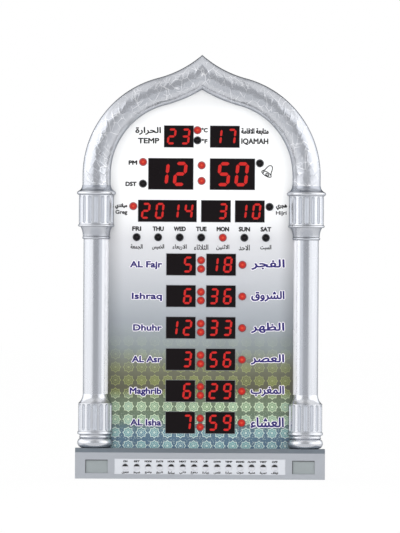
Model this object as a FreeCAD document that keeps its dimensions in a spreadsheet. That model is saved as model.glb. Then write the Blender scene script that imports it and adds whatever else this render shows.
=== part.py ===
"""Wall and shelf azan clock: silver arched casing, printed panel, seven-segment modules and a key bar.

Frame: +Z up, the front looks along -Y, x = 0 is the middle, z = 0 is the base, y = 0 is mid depth.
All lengths are in millimetres and all angles in degrees.
"""
import FreeCAD, Part
import math
import os
import Sketcher

DIMENSIONS = {
    # casing as a whole
    "clock_depth": 54.0,
    "plinth_width": 324.0,
    "plinth_height": 37.0,
    "frame_wall": 2.5,
    "casing_reach": 13.5,
    "panel_thickness": 2.0,
    "panel_lap": 10.5,
    "panel_gap": 0.3,
    "panel_foot": 33.0,
    "ledge_thickness": 2.5,
    "ledge_width": 6.0,
    # arch
    "column_inset": 25.5,
    "arch_radius": 112.5,
    "arch_sweep": 75.3,
    "crest_radius": 160.3,
    "tube_radius": 18.3,
    "moulding_wall": 2.5,
    "stilt_height": 13.5,
    # column, from the bar up
    "torus_radius": 23.1,
    "torus_height": 13.5,
    "scotia_radius": 22.3,
    "scotia_height": 4.3,
    "ring_radius": 23.0,
    "ring_height": 3.7,
    "base_drum_radius": 22.0,
    "base_drum_height": 36.6,
    "bell_height": 12.0,
    "shaft_radius": 16.3,
    "shaft_length": 200.9,
    "astragal_radius": 18.1,
    "astragal_height": 4.2,
    "echinus_low_radius": 17.5,
    "echinus_top_radius": 20.5,
    "echinus_height": 12.0,
    "lower_lip_radius": 23.8,
    "lower_lip_height": 3.6,
    "capital_drum_radius": 22.6,
    "capital_drum_height": 37.7,
    "lip_radius": 25.3,
    "lip_height": 5.2,
    "flare_low_radius": 24.6,
    "flare_height": 7.5,
    "flute_radius": 2.6,
    "flute_lift": 1.0,
    "flute_margin": 3.5,
    "flute_step": 22.0,
    # key bar
    "bar_height": 39.4,
    "bar_face_height": 34.0,
    "bar_wall": 3.0,
    "strip_width": 221.8,
    "strip_height": 20.2,
    "strip_low": 6.0,
    "strip_thickness": 0.8,
    "strip_sink": 0.5,
    "inset_end_gap": 13.4,
    "inset_strip_gap": 8.7,
    "inset_height": 17.3,
    "inset_low": 7.3,
    "inset_thickness": 0.8,
    "inset_sink": 1.2,
    "seat_gap": 0.1,
    # keys
    "key_pitch": 14.9,
    "key_height": 15.6,
    "key_radius": 4.3,
    "key_gap": 0.2,
    "key_sink": 0.3,
    "key_rim": 0.5,
    "key_dish": 1.6,
    "key_flange_radius": 5.6,
    "key_flange_thickness": 1.0,
    "key_flange_gap": 0.3,
    "key_stem_radius": 2.0,
    "key_stem_length": 1.8,
    "key_travel": 0.5,
    "key_slack": 0.1,
    "plunger_radius": 1.7,
    "plunger_length": 1.3,
    "switch_side": 6.0,
    "switch_depth": 3.5,
    "key_board_width": 222.0,
    "key_board_low": 7.0,
    "key_board_height": 25.0,
    "key_boss_x": 104.0,
    "key_boss_height": 27.0,
    "key_boss_radius": 3.0,
    # display modules
    "module_depth": 8.5,
    "module_proud": 0.5,
    "module_gap": 0.15,
    "small_width": 37.7,
    "small_height": 27.7,
    "clock_width": 57.8,
    "clock_height": 40.0,
    "top_x": 29.9,
    "top_rise": 50.5,
    "clock_x": 40.0,
    "clock_rise": 1.8,
    "year_x": -44.2,
    "month_x": 18.9,
    "day_x": 62.9,
    "calendar_rise": -46.4,
    "prayer_x": 26.0,
    "prayer_rise": -115.9,
    "prayer_pitch": 41.1,
    # indicator lamps
    "led_radius": 4.8,
    "led_gap": 0.15,
    "led_stand": 0.5,
    "unit_led_x": -5.6,
    "unit_led_rise": 58.8,
    "unit_led_pitch": 13.2,
    "mode_led_x": -76.2,
    "mode_led_rise": 17.1,
    "mode_led_pitch": 28.2,
    "alarm_led_x": 75.7,
    "alarm_led_rise": 16.2,
    "era_led_x": 88.6,
    "era_led_rise": -40.4,
    "colon_pitch": 20.3,
    "colon_rise": 3.0,
    "weekday_pitch": 28.0,
    "weekday_rise": -80.7,
    "prayer_colon_pitch": 11.2,
    "marker_x": 53.8,
    # boards
    "board_thickness": 1.6,
    "board_margin": 4.0,
    "board_screw_inset": 13.5,
    "board_low": 52.0,
    "board_shoulder_rise": 24.0,
    "board_top_rise": 68.0,
    "board_top_x": 90.0,
    "board_boss_radius": 4.0,
    "spacer_radius": 3.0,
    "spacer_length": 5.0,
    "spacer_inset": 7.0,
    "main_board_width": 150.0,
    "main_board_height": 100.0,
    "main_board_rise": -134.0,
    "chip_width": 10.0,
    "chip_length": 26.0,
    "chip_depth": 3.5,
    "chip_pitch": 30.0,
    "cell_radius": 10.0,
    "cell_thickness": 3.2,
    "cell_gap": 0.2,
    "cell_end_gap": 25.0,
    "cell_foot_gap": 22.0,
    "holder_wall": 1.8,
    "holder_floor": 0.8,
    # rear cover and fasteners
    "cover_thickness": 2.5,
    "cover_gap": 0.3,
    "post_radius": 4.5,
    "post_inset": 6.0,
    "post_low": 62.0,
    "post_spring_drop": 12.1,
    "crest_post_height": 128.0,
    "foot_post_x": 112.0,
    "foot_post_z": 9.0,
    "screw_radius": 1.45,
    "screw_length": 8.0,
    "screw_head_radius": 2.9,
    "screw_head": 1.3,
    "thread_gap": 0.05,
    "hole_gap": 0.3,
    # wall keyholes
    "keyhole_x": 70.0,
    "keyhole_rise": 26.0,
    "keyhole_radius": 4.5,
    "keyhole_slot": 4.6,
    "keyhole_length": 9.0,
    # speaker
    "speaker_radius": 28.5,
    "speaker_rise": -262.0,
    "speaker_flange": 1.5,
    "speaker_throat": 10.0,
    "speaker_depth": 9.0,
    "magnet_radius": 15.0,
    "magnet_depth": 5.0,
    "basket_wall": 1.2,
    "cone_thickness": 0.6,
    "cone_gap": 0.3,
    "grille_slot": 2.4,
    "grille_pitch": 5.0,
    # power inlet
    "jack_y": 14.0,
    "jack_z": 92.0,
    "jack_radius": 5.4,
    "jack_length": 11.5,
    "jack_gap": 0.1,
    "jack_flange_radius": 7.5,
    "jack_flange": 1.5,
    "jack_bore_radius": 3.15,
    "jack_bore_length": 9.5,
    "jack_pin_radius": 1.05,
    "jack_nut_radius": 8.0,
    "jack_nut_thickness": 2.5,
}

KEY_COUNT = 14
WEEKDAY_COUNT = 7
GRILLE_COUNT = 9
CHIP_COUNT = 4
FLUTE_COUNT = 7
PRAYERS = ("fajr", "sunrise", "dhuhr", "asr", "maghrib", "isha")

doc = FreeCAD.newDocument("azan_clock")
sheet = doc.addObject("Spreadsheet::Sheet", "Dims")
for row, (alias, size) in enumerate(DIMENSIONS.items(), start=1):
    sheet.set(f"A{row}", alias)
    sheet.set(f"B{row}", str(size))
    sheet.setAlias(f"B{row}", alias)
doc.recompute()


def dim(alias):
    return f"Dims.{alias}"


def plus(*terms):
    return "(" + " + ".join(terms) + ")"


def minus(first, *rest):
    return "(" + " - ".join((first,) + rest) + ")"


def times(factor, term):
    return f"({factor} * {term})"


def number(expression):
    return float(sheet.evalExpression(expression))


# Depths, front to back
FRONT = "(-Dims.clock_depth / 2)"
BACK = "(Dims.clock_depth / 2)"
FACE = plus(FRONT, dim("lip_radius"))
PANEL_BACK = plus(FACE, dim("panel_thickness"))
LEDGE_BACK = plus(PANEL_BACK, dim("ledge_thickness"))
MODULE_FRONT = minus(FACE, dim("module_proud"))
BOARD_FRONT = plus(MODULE_FRONT, dim("module_depth"))
BOARD_BACK = plus(BOARD_FRONT, dim("board_thickness"))
MAIN_FRONT = plus(BOARD_BACK, dim("spacer_length"))
MAIN_BACK = plus(MAIN_FRONT, dim("board_thickness"))
COVER_FRONT = minus(BACK, dim("cover_thickness"))
BAR_INSIDE = plus(FRONT, dim("bar_wall"))
STRIP_FRONT = plus(FRONT, dim("strip_sink"))
KEY_FRONT = plus(FRONT, dim("key_sink"))
FLANGE_FRONT = plus(BAR_INSIDE, dim("key_flange_gap"))
FLANGE_BACK = plus(FLANGE_FRONT, dim("key_flange_thickness"))
STEM_BACK = plus(FLANGE_BACK, dim("key_stem_length"))
PLUNGER_FRONT = plus(STEM_BACK, dim("key_travel"), dim("key_slack"))
SWITCH_FRONT = plus(PLUNGER_FRONT, dim("plunger_length"))
KEY_BOARD_FRONT = plus(SWITCH_FRONT, dim("switch_depth"))
KEY_BOARD_BACK = plus(KEY_BOARD_FRONT, dim("board_thickness"))

# Heights up the column, each member on the one below
TORUS_TOP = plus(dim("bar_height"), dim("torus_height"))
SCOTIA_TOP = plus(TORUS_TOP, dim("scotia_height"))
RING_TOP = plus(SCOTIA_TOP, dim("ring_height"))
BASE_DRUM_TOP = plus(RING_TOP, dim("base_drum_height"))
BASE_TOP = plus(BASE_DRUM_TOP, dim("bell_height"))
SHAFT_TOP = plus(BASE_TOP, dim("shaft_length"))
ASTRAGAL_TOP = plus(SHAFT_TOP, dim("astragal_height"))
ECHINUS_TOP = plus(ASTRAGAL_TOP, dim("echinus_height"))
LOWER_LIP_TOP = plus(ECHINUS_TOP, dim("lower_lip_height"))
CAPITAL_DRUM_TOP = plus(LOWER_LIP_TOP, dim("capital_drum_height"))
LIP_TOP = plus(CAPITAL_DRUM_TOP, dim("lip_height"))
CAPITAL_TOP = plus(LIP_TOP, dim("flare_height"))
SPRING = plus(CAPITAL_TOP, dim("stilt_height"))

PLINTH_X = "(Dims.plinth_width / 2)"
COLUMN_X = minus(PLINTH_X, dim("column_inset"))
LEFT_COLUMN_X = minus(dim("column_inset"), PLINTH_X)

# Arc centres of the ogee arch, right-hand side
ARCH_X = minus(COLUMN_X, dim("arch_radius"))
ARCH_SPAN = plus(dim("arch_radius"), dim("crest_radius"))
CREST_X = f"({ARCH_X} + {ARCH_SPAN} * cos(Dims.arch_sweep))"
CREST_Z = f"({SPRING} + {ARCH_SPAN} * sin(Dims.arch_sweep))"

CASING_X = plus(COLUMN_X, dim("casing_reach"))
CASING_INSIDE = minus(CASING_X, dim("frame_wall"))
BOARD_SCREW_X = minus(COLUMN_X, dim("board_screw_inset"))


def above_spring(rise):
    return plus(SPRING, rise)


def plane_of(body, role):
    return next(item for item in body.Origin.OriginFeatures if item.Role == role)


def bind(profile, kind, geometry, vertex, expression):
    index = profile.addConstraint(
        Sketcher.Constraint(kind, -1, 1, geometry, vertex, number(expression)))
    profile.setExpression(f"Constraints[{index}]", expression)


def draw(profile, outline):
    """Closed outline of (x, y, arc) corners; arc is None or (centre x, centre y, +1 or -1 turn)."""
    corners = [FreeCAD.Vector(number(x), number(y), 0) for x, y, _ in outline]
    first_edge = profile.GeometryCount
    ends = []
    for index, (_, _, arc) in enumerate(outline):
        start = corners[index]
        finish = corners[(index + 1) % len(corners)]
        if arc is None:
            profile.addGeometry(Part.LineSegment(start, finish))
            ends.append((1, 2))
            continue
        centre = FreeCAD.Vector(number(arc[0]), number(arc[1]), 0)
        low, high = (start, finish) if arc[2] > 0 else (finish, start)
        turn = [math.atan2(end.y - centre.y, end.x - centre.x) for end in (low, high)]
        if turn[1] <= turn[0]:
            turn[1] += 2 * math.pi
        circle = Part.Circle(centre, FreeCAD.Vector(0, 0, 1), (start - centre).Length)
        profile.addGeometry(Part.ArcOfCircle(circle, *turn))
        ends.append((1, 2) if arc[2] > 0 else (2, 1))
    for index, (x, y, arc) in enumerate(outline):
        following = (index + 1) % len(outline)
        edge = first_edge + index
        profile.addConstraint(Sketcher.Constraint(
            "Coincident", edge, ends[index][1], first_edge + following, ends[following][0]))
        bind(profile, "DistanceX", edge, ends[index][0], x)
        bind(profile, "DistanceY", edge, ends[index][0], y)
        if arc is not None:
            chord = corners[following] - corners[index]
            if abs(chord.x) >= abs(chord.y):
                bind(profile, "DistanceY", edge, 3, arc[1])
            else:
                bind(profile, "DistanceX", edge, 3, arc[0])


def sketch(body, role, outlines, offset):
    """Sketch on one of the body's own origin planes, moved by offset in the plane's own axes."""
    profile = body.newObject("Sketcher::SketchObject", f"{body.Label}_profile")
    profile.AttachmentSupport = (plane_of(body, role), [""])
    profile.MapMode = "FlatFace"
    for axis, expression in zip("xyz", offset):
        profile.setExpression(f"AttachmentOffset.Base.{axis}", expression)
    for outline in outlines:
        draw(profile, outline)
    return profile


def new_body(label):
    body = doc.addObject("PartDesign::Body", label)
    body.Label = label
    return body


def pad(body, outline, front, depth):
    """Pad an X-Z outline backwards, along +Y, from the plane y = front."""
    feature = body.newObject("PartDesign::Pad", f"{body.Label}_pad")
    feature.Profile = sketch(body, "XZ_Plane", [outline], ("0", "0", f"(-{front})"))
    feature.Reversed = True
    feature.setExpression("Length", depth)
    return feature


def pocket(body, outlines, front, depth):
    """Cut X-Z outlines backwards, along +Y, from the plane y = front."""
    feature = body.newObject("PartDesign::Pocket", f"{body.Label}_pocket")
    feature.Profile = sketch(body, "XZ_Plane", outlines, ("0", "0", f"(-{front})"))
    feature.setExpression("Length", depth)
    return feature


def revolve(body, profile, angle, reversed_way):
    feature = body.newObject("PartDesign::Revolution", f"{body.Label}_turn")
    feature.Profile = profile
    feature.ReferenceAxis = (profile, ["V_Axis"])
    feature.setExpression("Angle", angle)
    feature.Reversed = reversed_way
    return feature


def put(thing, x, y, z):
    for axis, expression in zip("xyz", (x, y, z)):
        thing.setExpression(f"Placement.Base.{axis}", expression)


def block(x, y, z, length, width, height):
    """Box centred on x and z, from y backwards."""
    thing = doc.addObject("Part::Box", "block")
    thing.setExpression("Length", length)
    thing.setExpression("Width", width)
    thing.setExpression("Height", height)
    put(thing, f"{x} - {length} / 2", y, f"{z} - {height} / 2")
    return thing


TOWARDS_BACK = FreeCAD.Rotation(FreeCAD.Vector(1, 0, 0), -90)
TOWARDS_RIGHT = FreeCAD.Rotation(FreeCAD.Vector(0, 1, 0), 90)


def rod(x, y, z, radius, length, turn=TOWARDS_BACK):
    thing = doc.addObject("Part::Cylinder", "rod")
    thing.Placement = FreeCAD.Placement(FreeCAD.Vector(), turn)
    thing.setExpression("Radius", radius)
    thing.setExpression("Height", length)
    put(thing, x, y, z)
    return thing


def ball(x, y, z, radius):
    thing = doc.addObject("Part::Sphere", "ball")
    thing.setExpression("Radius", radius)
    put(thing, x, y, z)
    return thing


def cone(x, y, z, front_radius, back_radius, length):
    thing = doc.addObject("Part::Cone", "cone")
    thing.Placement = FreeCAD.Placement(FreeCAD.Vector(), TOWARDS_BACK)
    thing.setExpression("Radius1", front_radius)
    thing.setExpression("Radius2", back_radius)
    thing.setExpression("Height", length)
    put(thing, x, y, z)
    return thing


def join(things, label="join"):
    whole = doc.addObject("Part::MultiFuse", label)
    whole.Label = label
    whole.Shapes = things
    return whole


def group(things, label="group"):
    whole = doc.addObject("Part::Compound", label)
    whole.Label = label
    whole.Links = things
    return whole


def cut(base, tool, label="cut"):
    rest = doc.addObject("Part::Cut", label)
    rest.Label = label
    rest.Base = base
    rest.Tool = tool
    return rest


def mirrored(source, label):
    copy = doc.addObject("Part::Mirroring", label)
    copy.Label = label
    copy.Source = source
    copy.Normal = FreeCAD.Vector(1, 0, 0)
    return copy


def arched_outline(reach, feet):
    """Ogee-topped outline that lies reach outside the arch's centre line, on the given feet."""
    radius = plus(dim("arch_radius"), reach)
    crest = minus(dim("crest_radius"), reach)
    tangent_x = f"({ARCH_X} + {radius} * cos(Dims.arch_sweep))"
    tangent_z = f"({SPRING} + {radius} * sin(Dims.arch_sweep))"
    apex_z = f"({CREST_Z} - sqrt({crest} ^ 2 - {CREST_X} ^ 2))"
    spring_x = plus(ARCH_X, radius)
    right = [(x, z, None) for x, z in feet]
    left = [(f"(-{x})", z, None) for x, z in reversed(feet)]
    crown = [
        (spring_x, SPRING, (ARCH_X, SPRING, 1)),
        (tangent_x, tangent_z, (CREST_X, CREST_Z, -1)),
        ("0", apex_z, (f"(-{CREST_X})", CREST_Z, -1)),
        (f"(-{tangent_x})", tangent_z, (f"(-{ARCH_X})", SPRING, 1)),
        (f"(-{spring_x})", SPRING, None),
    ]
    return right + crown + left


def rectangle(x, z, length, height):
    low_x, high_x = f"({x} - {length} / 2)", f"({x} + {length} / 2)"
    low_z, high_z = f"({z} - {height} / 2)", f"({z} + {height} / 2)"
    return [(low_x, low_z, None), (high_x, low_z, None), (high_x, high_z, None), (low_x, high_z, None)]


def casing_outline(inset):
    """Plinth and arched casing in one outline, drawn in by inset."""
    side = minus(PLINTH_X, inset)
    shoulder = minus(dim("plinth_height"), inset)
    reach = minus(dim("casing_reach"), inset)
    return arched_outline(reach, [(side, inset), (side, shoulder), (plus(COLUMN_X, reach), shoulder)])


# Places that several pieces share

def sides(x, z):
    return [(x, z), (f"(-{x})", z)]


POST_HIGH = above_spring(f"(-{dim('post_spring_drop')})")
POST_PLACES = [
    place
    for height in (dim("post_low"), f"(({dim('post_low')} + {POST_HIGH}) / 2)", POST_HIGH)
    for place in sides(minus(CASING_X, dim("post_inset")), height)
]
POST_PLACES += sides(dim("foot_post_x"), dim("foot_post_z"))
POST_PLACES.append(("0", above_spring(dim("crest_post_height"))))

BOARD_LOW_SCREW = plus(dim("board_low"), dim("board_margin"))
BOARD_SHOULDER = above_spring(dim("board_shoulder_rise"))
BOARD_HIGH_SCREW = minus(BOARD_SHOULDER, dim("board_margin"))
BOARD_PLACES = [
    place
    for height in (BOARD_LOW_SCREW, f"(({BOARD_LOW_SCREW} + {BOARD_HIGH_SCREW}) / 2)", BOARD_HIGH_SCREW)
    for place in sides(BOARD_SCREW_X, height)
]

MAIN_Z = above_spring(dim("main_board_rise"))
MAIN_LOW = minus(MAIN_Z, "(Dims.main_board_height / 2)")
CELL_X = minus("(Dims.main_board_width / 2)", dim("cell_end_gap"))
SPACER_X = minus("(Dims.main_board_width / 2)", dim("spacer_inset"))
SPACER_RISE = minus("(Dims.main_board_height / 2)", dim("spacer_inset"))
SPACER_PLACES = [
    place
    for height in (minus(MAIN_Z, SPACER_RISE), plus(MAIN_Z, SPACER_RISE))
    for place in sides(SPACER_X, height)
]

KEY_PLACES = [times(index - (KEY_COUNT - 1) / 2, dim("key_pitch")) for index in range(KEY_COUNT)]
KEY_BOSS_PLACES = [
    (times(share, dim("key_boss_x")), dim("key_boss_height")) for share in (-1, -1 / 3, 1 / 3, 1)
]

PRAYER_ROWS = [
    above_spring(minus(dim("prayer_rise"), times(row, dim("prayer_pitch")))) for row in range(len(PRAYERS))
]
TOP_Z = above_spring(dim("top_rise"))
CLOCK_Z = above_spring(dim("clock_rise"))
CALENDAR_Z = above_spring(dim("calendar_rise"))
SMALL = (dim("small_width"), dim("small_height"))
LARGE = (dim("clock_width"), dim("clock_height"))

# Each display: label and the (x, z, size) of its modules
DISPLAYS = {
    "temperature_display": [(f"(-{dim('top_x')})", TOP_Z, SMALL)],
    "countdown_display": [(dim("top_x"), TOP_Z, SMALL)],
    "hour_display": [(f"(-{dim('clock_x')})", CLOCK_Z, LARGE)],
    "minute_display": [(dim("clock_x"), CLOCK_Z, LARGE)],
    "year_display": [
        (minus(dim("year_x"), "Dims.small_width / 2"), CALENDAR_Z, SMALL),
        (plus(dim("year_x"), "Dims.small_width / 2"), CALENDAR_Z, SMALL),
    ],
    "month_display": [(dim("month_x"), CALENDAR_Z, SMALL)],
    "day_display": [(dim("day_x"), CALENDAR_Z, SMALL)],
}
for prayer, row_z in zip(PRAYERS, PRAYER_ROWS):
    DISPLAYS[f"{prayer}_display"] = [(x, z, SMALL) for x, z in reversed(sides(dim("prayer_x"), row_z))]

MODE_Z = above_spring(dim("mode_led_rise"))
UNIT_Z = above_spring(dim("unit_led_rise"))
COLON_Z = above_spring(dim("colon_rise"))
ERA_Z = above_spring(dim("era_led_rise"))

# Each group of lamps: label and their (x, z) places
LAMPS = {
    "mode_leds": [
        (dim("unit_led_x"), UNIT_Z),
        (dim("unit_led_x"), minus(UNIT_Z, dim("unit_led_pitch"))),
        (dim("mode_led_x"), MODE_Z),
        (dim("mode_led_x"), minus(MODE_Z, dim("mode_led_pitch"))),
        (dim("alarm_led_x"), above_spring(dim("alarm_led_rise"))),
    ] + sides(dim("era_led_x"), ERA_Z),
    "clock_colon_leds": [("0", plus(COLON_Z, times(half, dim("colon_pitch")))) for half in (0.5, -0.5)],
    "weekday_leds": [
        (times(index - (WEEKDAY_COUNT - 1) / 2, dim("weekday_pitch")), above_spring(dim("weekday_rise")))
        for index in range(WEEKDAY_COUNT)
    ],
    "prayer_colon_leds": [
        ("0", plus(row_z, times(half, dim("prayer_colon_pitch"))))
        for row_z in PRAYER_ROWS for half in (0.5, -0.5)
    ],
    "prayer_marker_leds": [(dim("marker_x"), row_z) for row_z in PRAYER_ROWS],
}


# Casing

def make_front_frame():
    """Open-backed casing: skirt, front flange, rebate for the panel, posts and bosses."""
    body = new_body("frame_shell")
    pad(body, casing_outline("0"), FACE, minus(BACK, FACE))
    pocket(body, [casing_outline(dim("frame_wall"))], LEDGE_BACK, minus(BACK, LEDGE_BACK))
    rebate = minus(dim("panel_gap"), dim("panel_lap"))
    rebate_foot = minus(dim("panel_foot"), dim("panel_gap"))
    pocket(body, [arched_outline(rebate, [(plus(COLUMN_X, rebate), rebate_foot)])],
           FACE, dim("panel_thickness"))
    opening = f"(-{plus(dim('panel_lap'), dim('ledge_width'))})"
    opening_foot = plus(dim("panel_foot"), dim("ledge_width"))
    pocket(body, [arched_outline(opening, [(plus(COLUMN_X, opening), opening_foot)])],
           FACE, minus(LEDGE_BACK, FACE))
    posts = [rod(x, LEDGE_BACK, z, dim("post_radius"), minus(COVER_FRONT, LEDGE_BACK)) for x, z in POST_PLACES]
    bosses = [
        rod(x, PANEL_BACK, z, dim("board_boss_radius"), minus(BOARD_FRONT, PANEL_BACK))
        for x, z in BOARD_PLACES
    ]
    pilot = plus(dim("screw_radius"), dim("thread_gap"))
    tapped = [
        rod(x, minus(COVER_FRONT, dim("screw_length")), z, pilot, dim("screw_length"))
        for x, z in POST_PLACES
    ]
    boss_depth = minus(BOARD_FRONT, PANEL_BACK)
    tapped += [rod(x, PANEL_BACK, z, pilot, boss_depth) for x, z in BOARD_PLACES]
    inlet = rod(minus(CASING_INSIDE, dim("frame_wall")), dim("jack_y"), dim("jack_z"),
                plus(dim("jack_radius"), dim("jack_gap")), times(3, dim("frame_wall")), TOWARDS_RIGHT)
    return cut(join([body] + posts + bosses), group(tapped + [inlet]), "front_frame")


def moulding_section(centre):
    """Half-round shell section, open towards the back, centred on the arch's centre line."""
    outer = dim("tube_radius")
    inner = minus(outer, dim("moulding_wall"))
    return [
        (minus(centre, outer), FACE, (centre, FACE, 1)),
        (plus(centre, outer), FACE, None),
        (plus(centre, inner), FACE, (centre, FACE, -1)),
        (minus(centre, inner), FACE, None),
    ]


def make_arch():
    """Half-round moulding: stilt, lower arc and reversed crest arc, mitred on the centre line."""
    body = new_body("arch_half")
    section = sketch(body, "XY_Plane", [moulding_section(dim("arch_radius"))], (ARCH_X, "0", SPRING))
    revolve(body, section, dim("arch_sweep"), True)
    stilt = body.newObject("PartDesign::Pad", "stilt")
    stilt.Profile = sketch(body, "XY_Plane", [moulding_section(dim("arch_radius"))], (ARCH_X, "0", SPRING))
    stilt.Reversed = True
    stilt.setExpression("Length", dim("stilt_height"))
    crest = sketch(body, "XY_Plane", [moulding_section(f"(-{dim('crest_radius')})")], (CREST_X, "0", CREST_Z))
    revolve(body, crest, dim("arch_sweep"), True)
    reach = plus(dim("crest_radius"), dim("tube_radius"))
    beyond = block(f"(-{reach} / 2)", FRONT, CREST_Z, reach, dim("clock_depth"), times(2, reach))
    half = cut(body, beyond, "arch_side")
    whole = join([half, mirrored(half, "arch_other_side")], "arch_moulding")
    whole.Refine = True
    return whole


def column_piece(label, outline):
    """Half-round turned piece on the left column's axis, open at the back."""
    body = new_body(label)
    offset = (LEFT_COLUMN_X, "0", f"(-{FACE})")
    revolve(body, sketch(body, "XZ_Plane", [outline], offset), "180", True)
    return body


def flutes(drum_radius, low, high):
    """Round-ended vertical grooves over the front of a drum, their axes just outside its face."""
    tools = []
    axis_radius = plus(drum_radius, dim("flute_lift"))
    for index in range(FLUTE_COUNT):
        angle = times(index - (FLUTE_COUNT - 1) / 2, dim("flute_step"))
        x = f"({LEFT_COLUMN_X} + {axis_radius} * sin({angle}))"
        y = f"({FACE} - {axis_radius} * cos({angle}))"
        start, end = plus(low, dim("flute_margin")), minus(high, dim("flute_margin"))
        tools.append(rod(x, y, start, dim("flute_radius"), minus(end, start), FreeCAD.Rotation()))
        tools.append(ball(x, y, start, dim("flute_radius")))
        tools.append(ball(x, y, end, dim("flute_radius")))
    return join(tools)


BORE = minus(dim("shaft_radius"), dim("moulding_wall"))


def cove(low_radius, low_z, high_radius, high_z, upright_at_top):
    """Centre and turn of a hollow curve between two radii, upright at one end."""
    step = f"abs({high_radius} - {low_radius})"
    radius = f"(({step} ^ 2 + ({high_z} - {low_z}) ^ 2) / (2 * {step}))"
    if upright_at_top:
        return (plus(high_radius, radius), high_z, -1)
    return (plus(low_radius, radius), low_z, -1)


def make_column():
    torus = "(Dims.torus_height / 2)"
    torus_seat = minus(dim("torus_radius"), torus)
    scotia = "(Dims.scotia_height / 2)"
    base_outline = [
        (BORE, dim("bar_height"), None),
        (torus_seat, dim("bar_height"), (torus_seat, plus(dim("bar_height"), torus), 1)),
        (torus_seat, TORUS_TOP, None),
        (dim("scotia_radius"), TORUS_TOP, (dim("scotia_radius"), plus(TORUS_TOP, scotia), -1)),
        (dim("scotia_radius"), SCOTIA_TOP, None),
        (dim("ring_radius"), SCOTIA_TOP, None),
        (dim("ring_radius"), RING_TOP, None),
        (dim("base_drum_radius"), RING_TOP, None),
        (dim("base_drum_radius"), BASE_DRUM_TOP,
         cove(dim("base_drum_radius"), BASE_DRUM_TOP, dim("shaft_radius"), BASE_TOP, True)),
        (dim("shaft_radius"), BASE_TOP, None),
        (BORE, BASE_TOP, None),
    ]
    astragal = "(Dims.astragal_height / 2)"
    astragal_seat = minus(dim("astragal_radius"), astragal)
    capital_outline = [
        (BORE, SHAFT_TOP, None),
        (astragal_seat, SHAFT_TOP, (astragal_seat, plus(SHAFT_TOP, astragal), 1)),
        (astragal_seat, ASTRAGAL_TOP, None),
        (dim("echinus_low_radius"), ASTRAGAL_TOP,
         cove(dim("echinus_low_radius"), ASTRAGAL_TOP, dim("echinus_top_radius"), ECHINUS_TOP, False)),
        (dim("echinus_top_radius"), ECHINUS_TOP, None),
        (dim("lower_lip_radius"), ECHINUS_TOP, None),
        (dim("lower_lip_radius"), LOWER_LIP_TOP, None),
        (dim("capital_drum_radius"), LOWER_LIP_TOP, None),
        (dim("capital_drum_radius"), CAPITAL_DRUM_TOP, None),
        (dim("lip_radius"), CAPITAL_DRUM_TOP, None),
        (dim("lip_radius"), LIP_TOP, None),
        (dim("flare_low_radius"), LIP_TOP, None),
        (dim("tube_radius"), CAPITAL_TOP, None),
        (BORE, CAPITAL_TOP, None),
    ]
    shaft_outline = [
        (BORE, BASE_TOP, None),
        (dim("shaft_radius"), BASE_TOP, None),
        (dim("shaft_radius"), SHAFT_TOP, None),
        (BORE, SHAFT_TOP, None),
    ]
    base = cut(column_piece("base_turning", base_outline),
               flutes(dim("base_drum_radius"), RING_TOP, BASE_DRUM_TOP), "left_column_base")
    capital = cut(column_piece("capital_turning", capital_outline),
                  flutes(dim("capital_drum_radius"), LOWER_LIP_TOP, CAPITAL_DRUM_TOP), "left_capital")
    shaft = column_piece("left_shaft", shaft_outline)
    return [
        base, mirrored(base, "right_column_base"),
        shaft, mirrored(shaft, "right_shaft"),
        capital, mirrored(capital, "right_capital"),
    ]


# Key bar

STRIP_SEAT = plus(STRIP_FRONT, dim("strip_thickness"))
STRIP_Z = "(Dims.strip_low + Dims.strip_height / 2)"
STRIP_END = "(Dims.strip_width / 2)"
INSET_WIDTH = minus(PLINTH_X, dim("inset_end_gap"), dim("inset_strip_gap"), STRIP_END)
INSET_X = f"({STRIP_END} + {dim('inset_strip_gap')} + {INSET_WIDTH} / 2)"
INSET_Z = "(Dims.inset_low + Dims.inset_height / 2)"
KEY_BOARD_Z = "(Dims.key_board_low + Dims.key_board_height / 2)"
KEY_HOLE = plus(dim("key_radius"), dim("key_gap"))


def make_base_bar():
    """Hollow bar with a bevelled top edge, a seat for the label strip and two side recesses."""
    body = new_body("bar_shell")
    bevel = minus(dim("bar_height"), dim("bar_face_height"))
    outline = [
        (FRONT, "0", None),
        (FACE, "0", None),
        (FACE, dim("bar_height"), None),
        (plus(FRONT, bevel), dim("bar_height"), None),
        (FRONT, dim("bar_face_height"), None),
    ]
    length = body.newObject("PartDesign::Pad", "bar_pad")
    length.Profile = sketch(body, "YZ_Plane", [outline], ("0", "0", "0"))
    length.Midplane = True
    length.setExpression("Length", dim("plinth_width"))
    hollow_z = "((Dims.bar_wall + Dims.bar_face_height) / 2)"
    hollow = rectangle("0", hollow_z, minus(dim("plinth_width"), times(2, dim("bar_wall"))),
                       minus(dim("bar_face_height"), dim("bar_wall")))
    pocket(body, [hollow], BAR_INSIDE, minus(FACE, BAR_INSIDE))
    play = times(2, dim("seat_gap"))
    pocket(body, [rectangle("0", STRIP_Z, plus(dim("strip_width"), play), plus(dim("strip_height"), play))],
           FRONT, minus(STRIP_SEAT, FRONT))
    pocket(body, [
        rectangle(x, z, plus(INSET_WIDTH, play), plus(dim("inset_height"), play))
        for x, z in sides(INSET_X, INSET_Z)
    ], FRONT, plus(dim("inset_sink"), dim("inset_thickness")))
    bosses = [
        rod(x, BAR_INSIDE, z, dim("key_boss_radius"), minus(KEY_BOARD_FRONT, BAR_INSIDE))
        for x, z in KEY_BOSS_PLACES
    ]
    pilot = plus(dim("screw_radius"), dim("thread_gap"))
    holes = [rod(x, FRONT, dim("key_height"), KEY_HOLE, dim("bar_wall")) for x in KEY_PLACES]
    holes += [
        rod(x, BAR_INSIDE, z, pilot, minus(KEY_BOARD_FRONT, BAR_INSIDE)) for x, z in KEY_BOSS_PLACES
    ]
    return cut(join([body] + bosses), group(holes), "base_bar")


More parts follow.
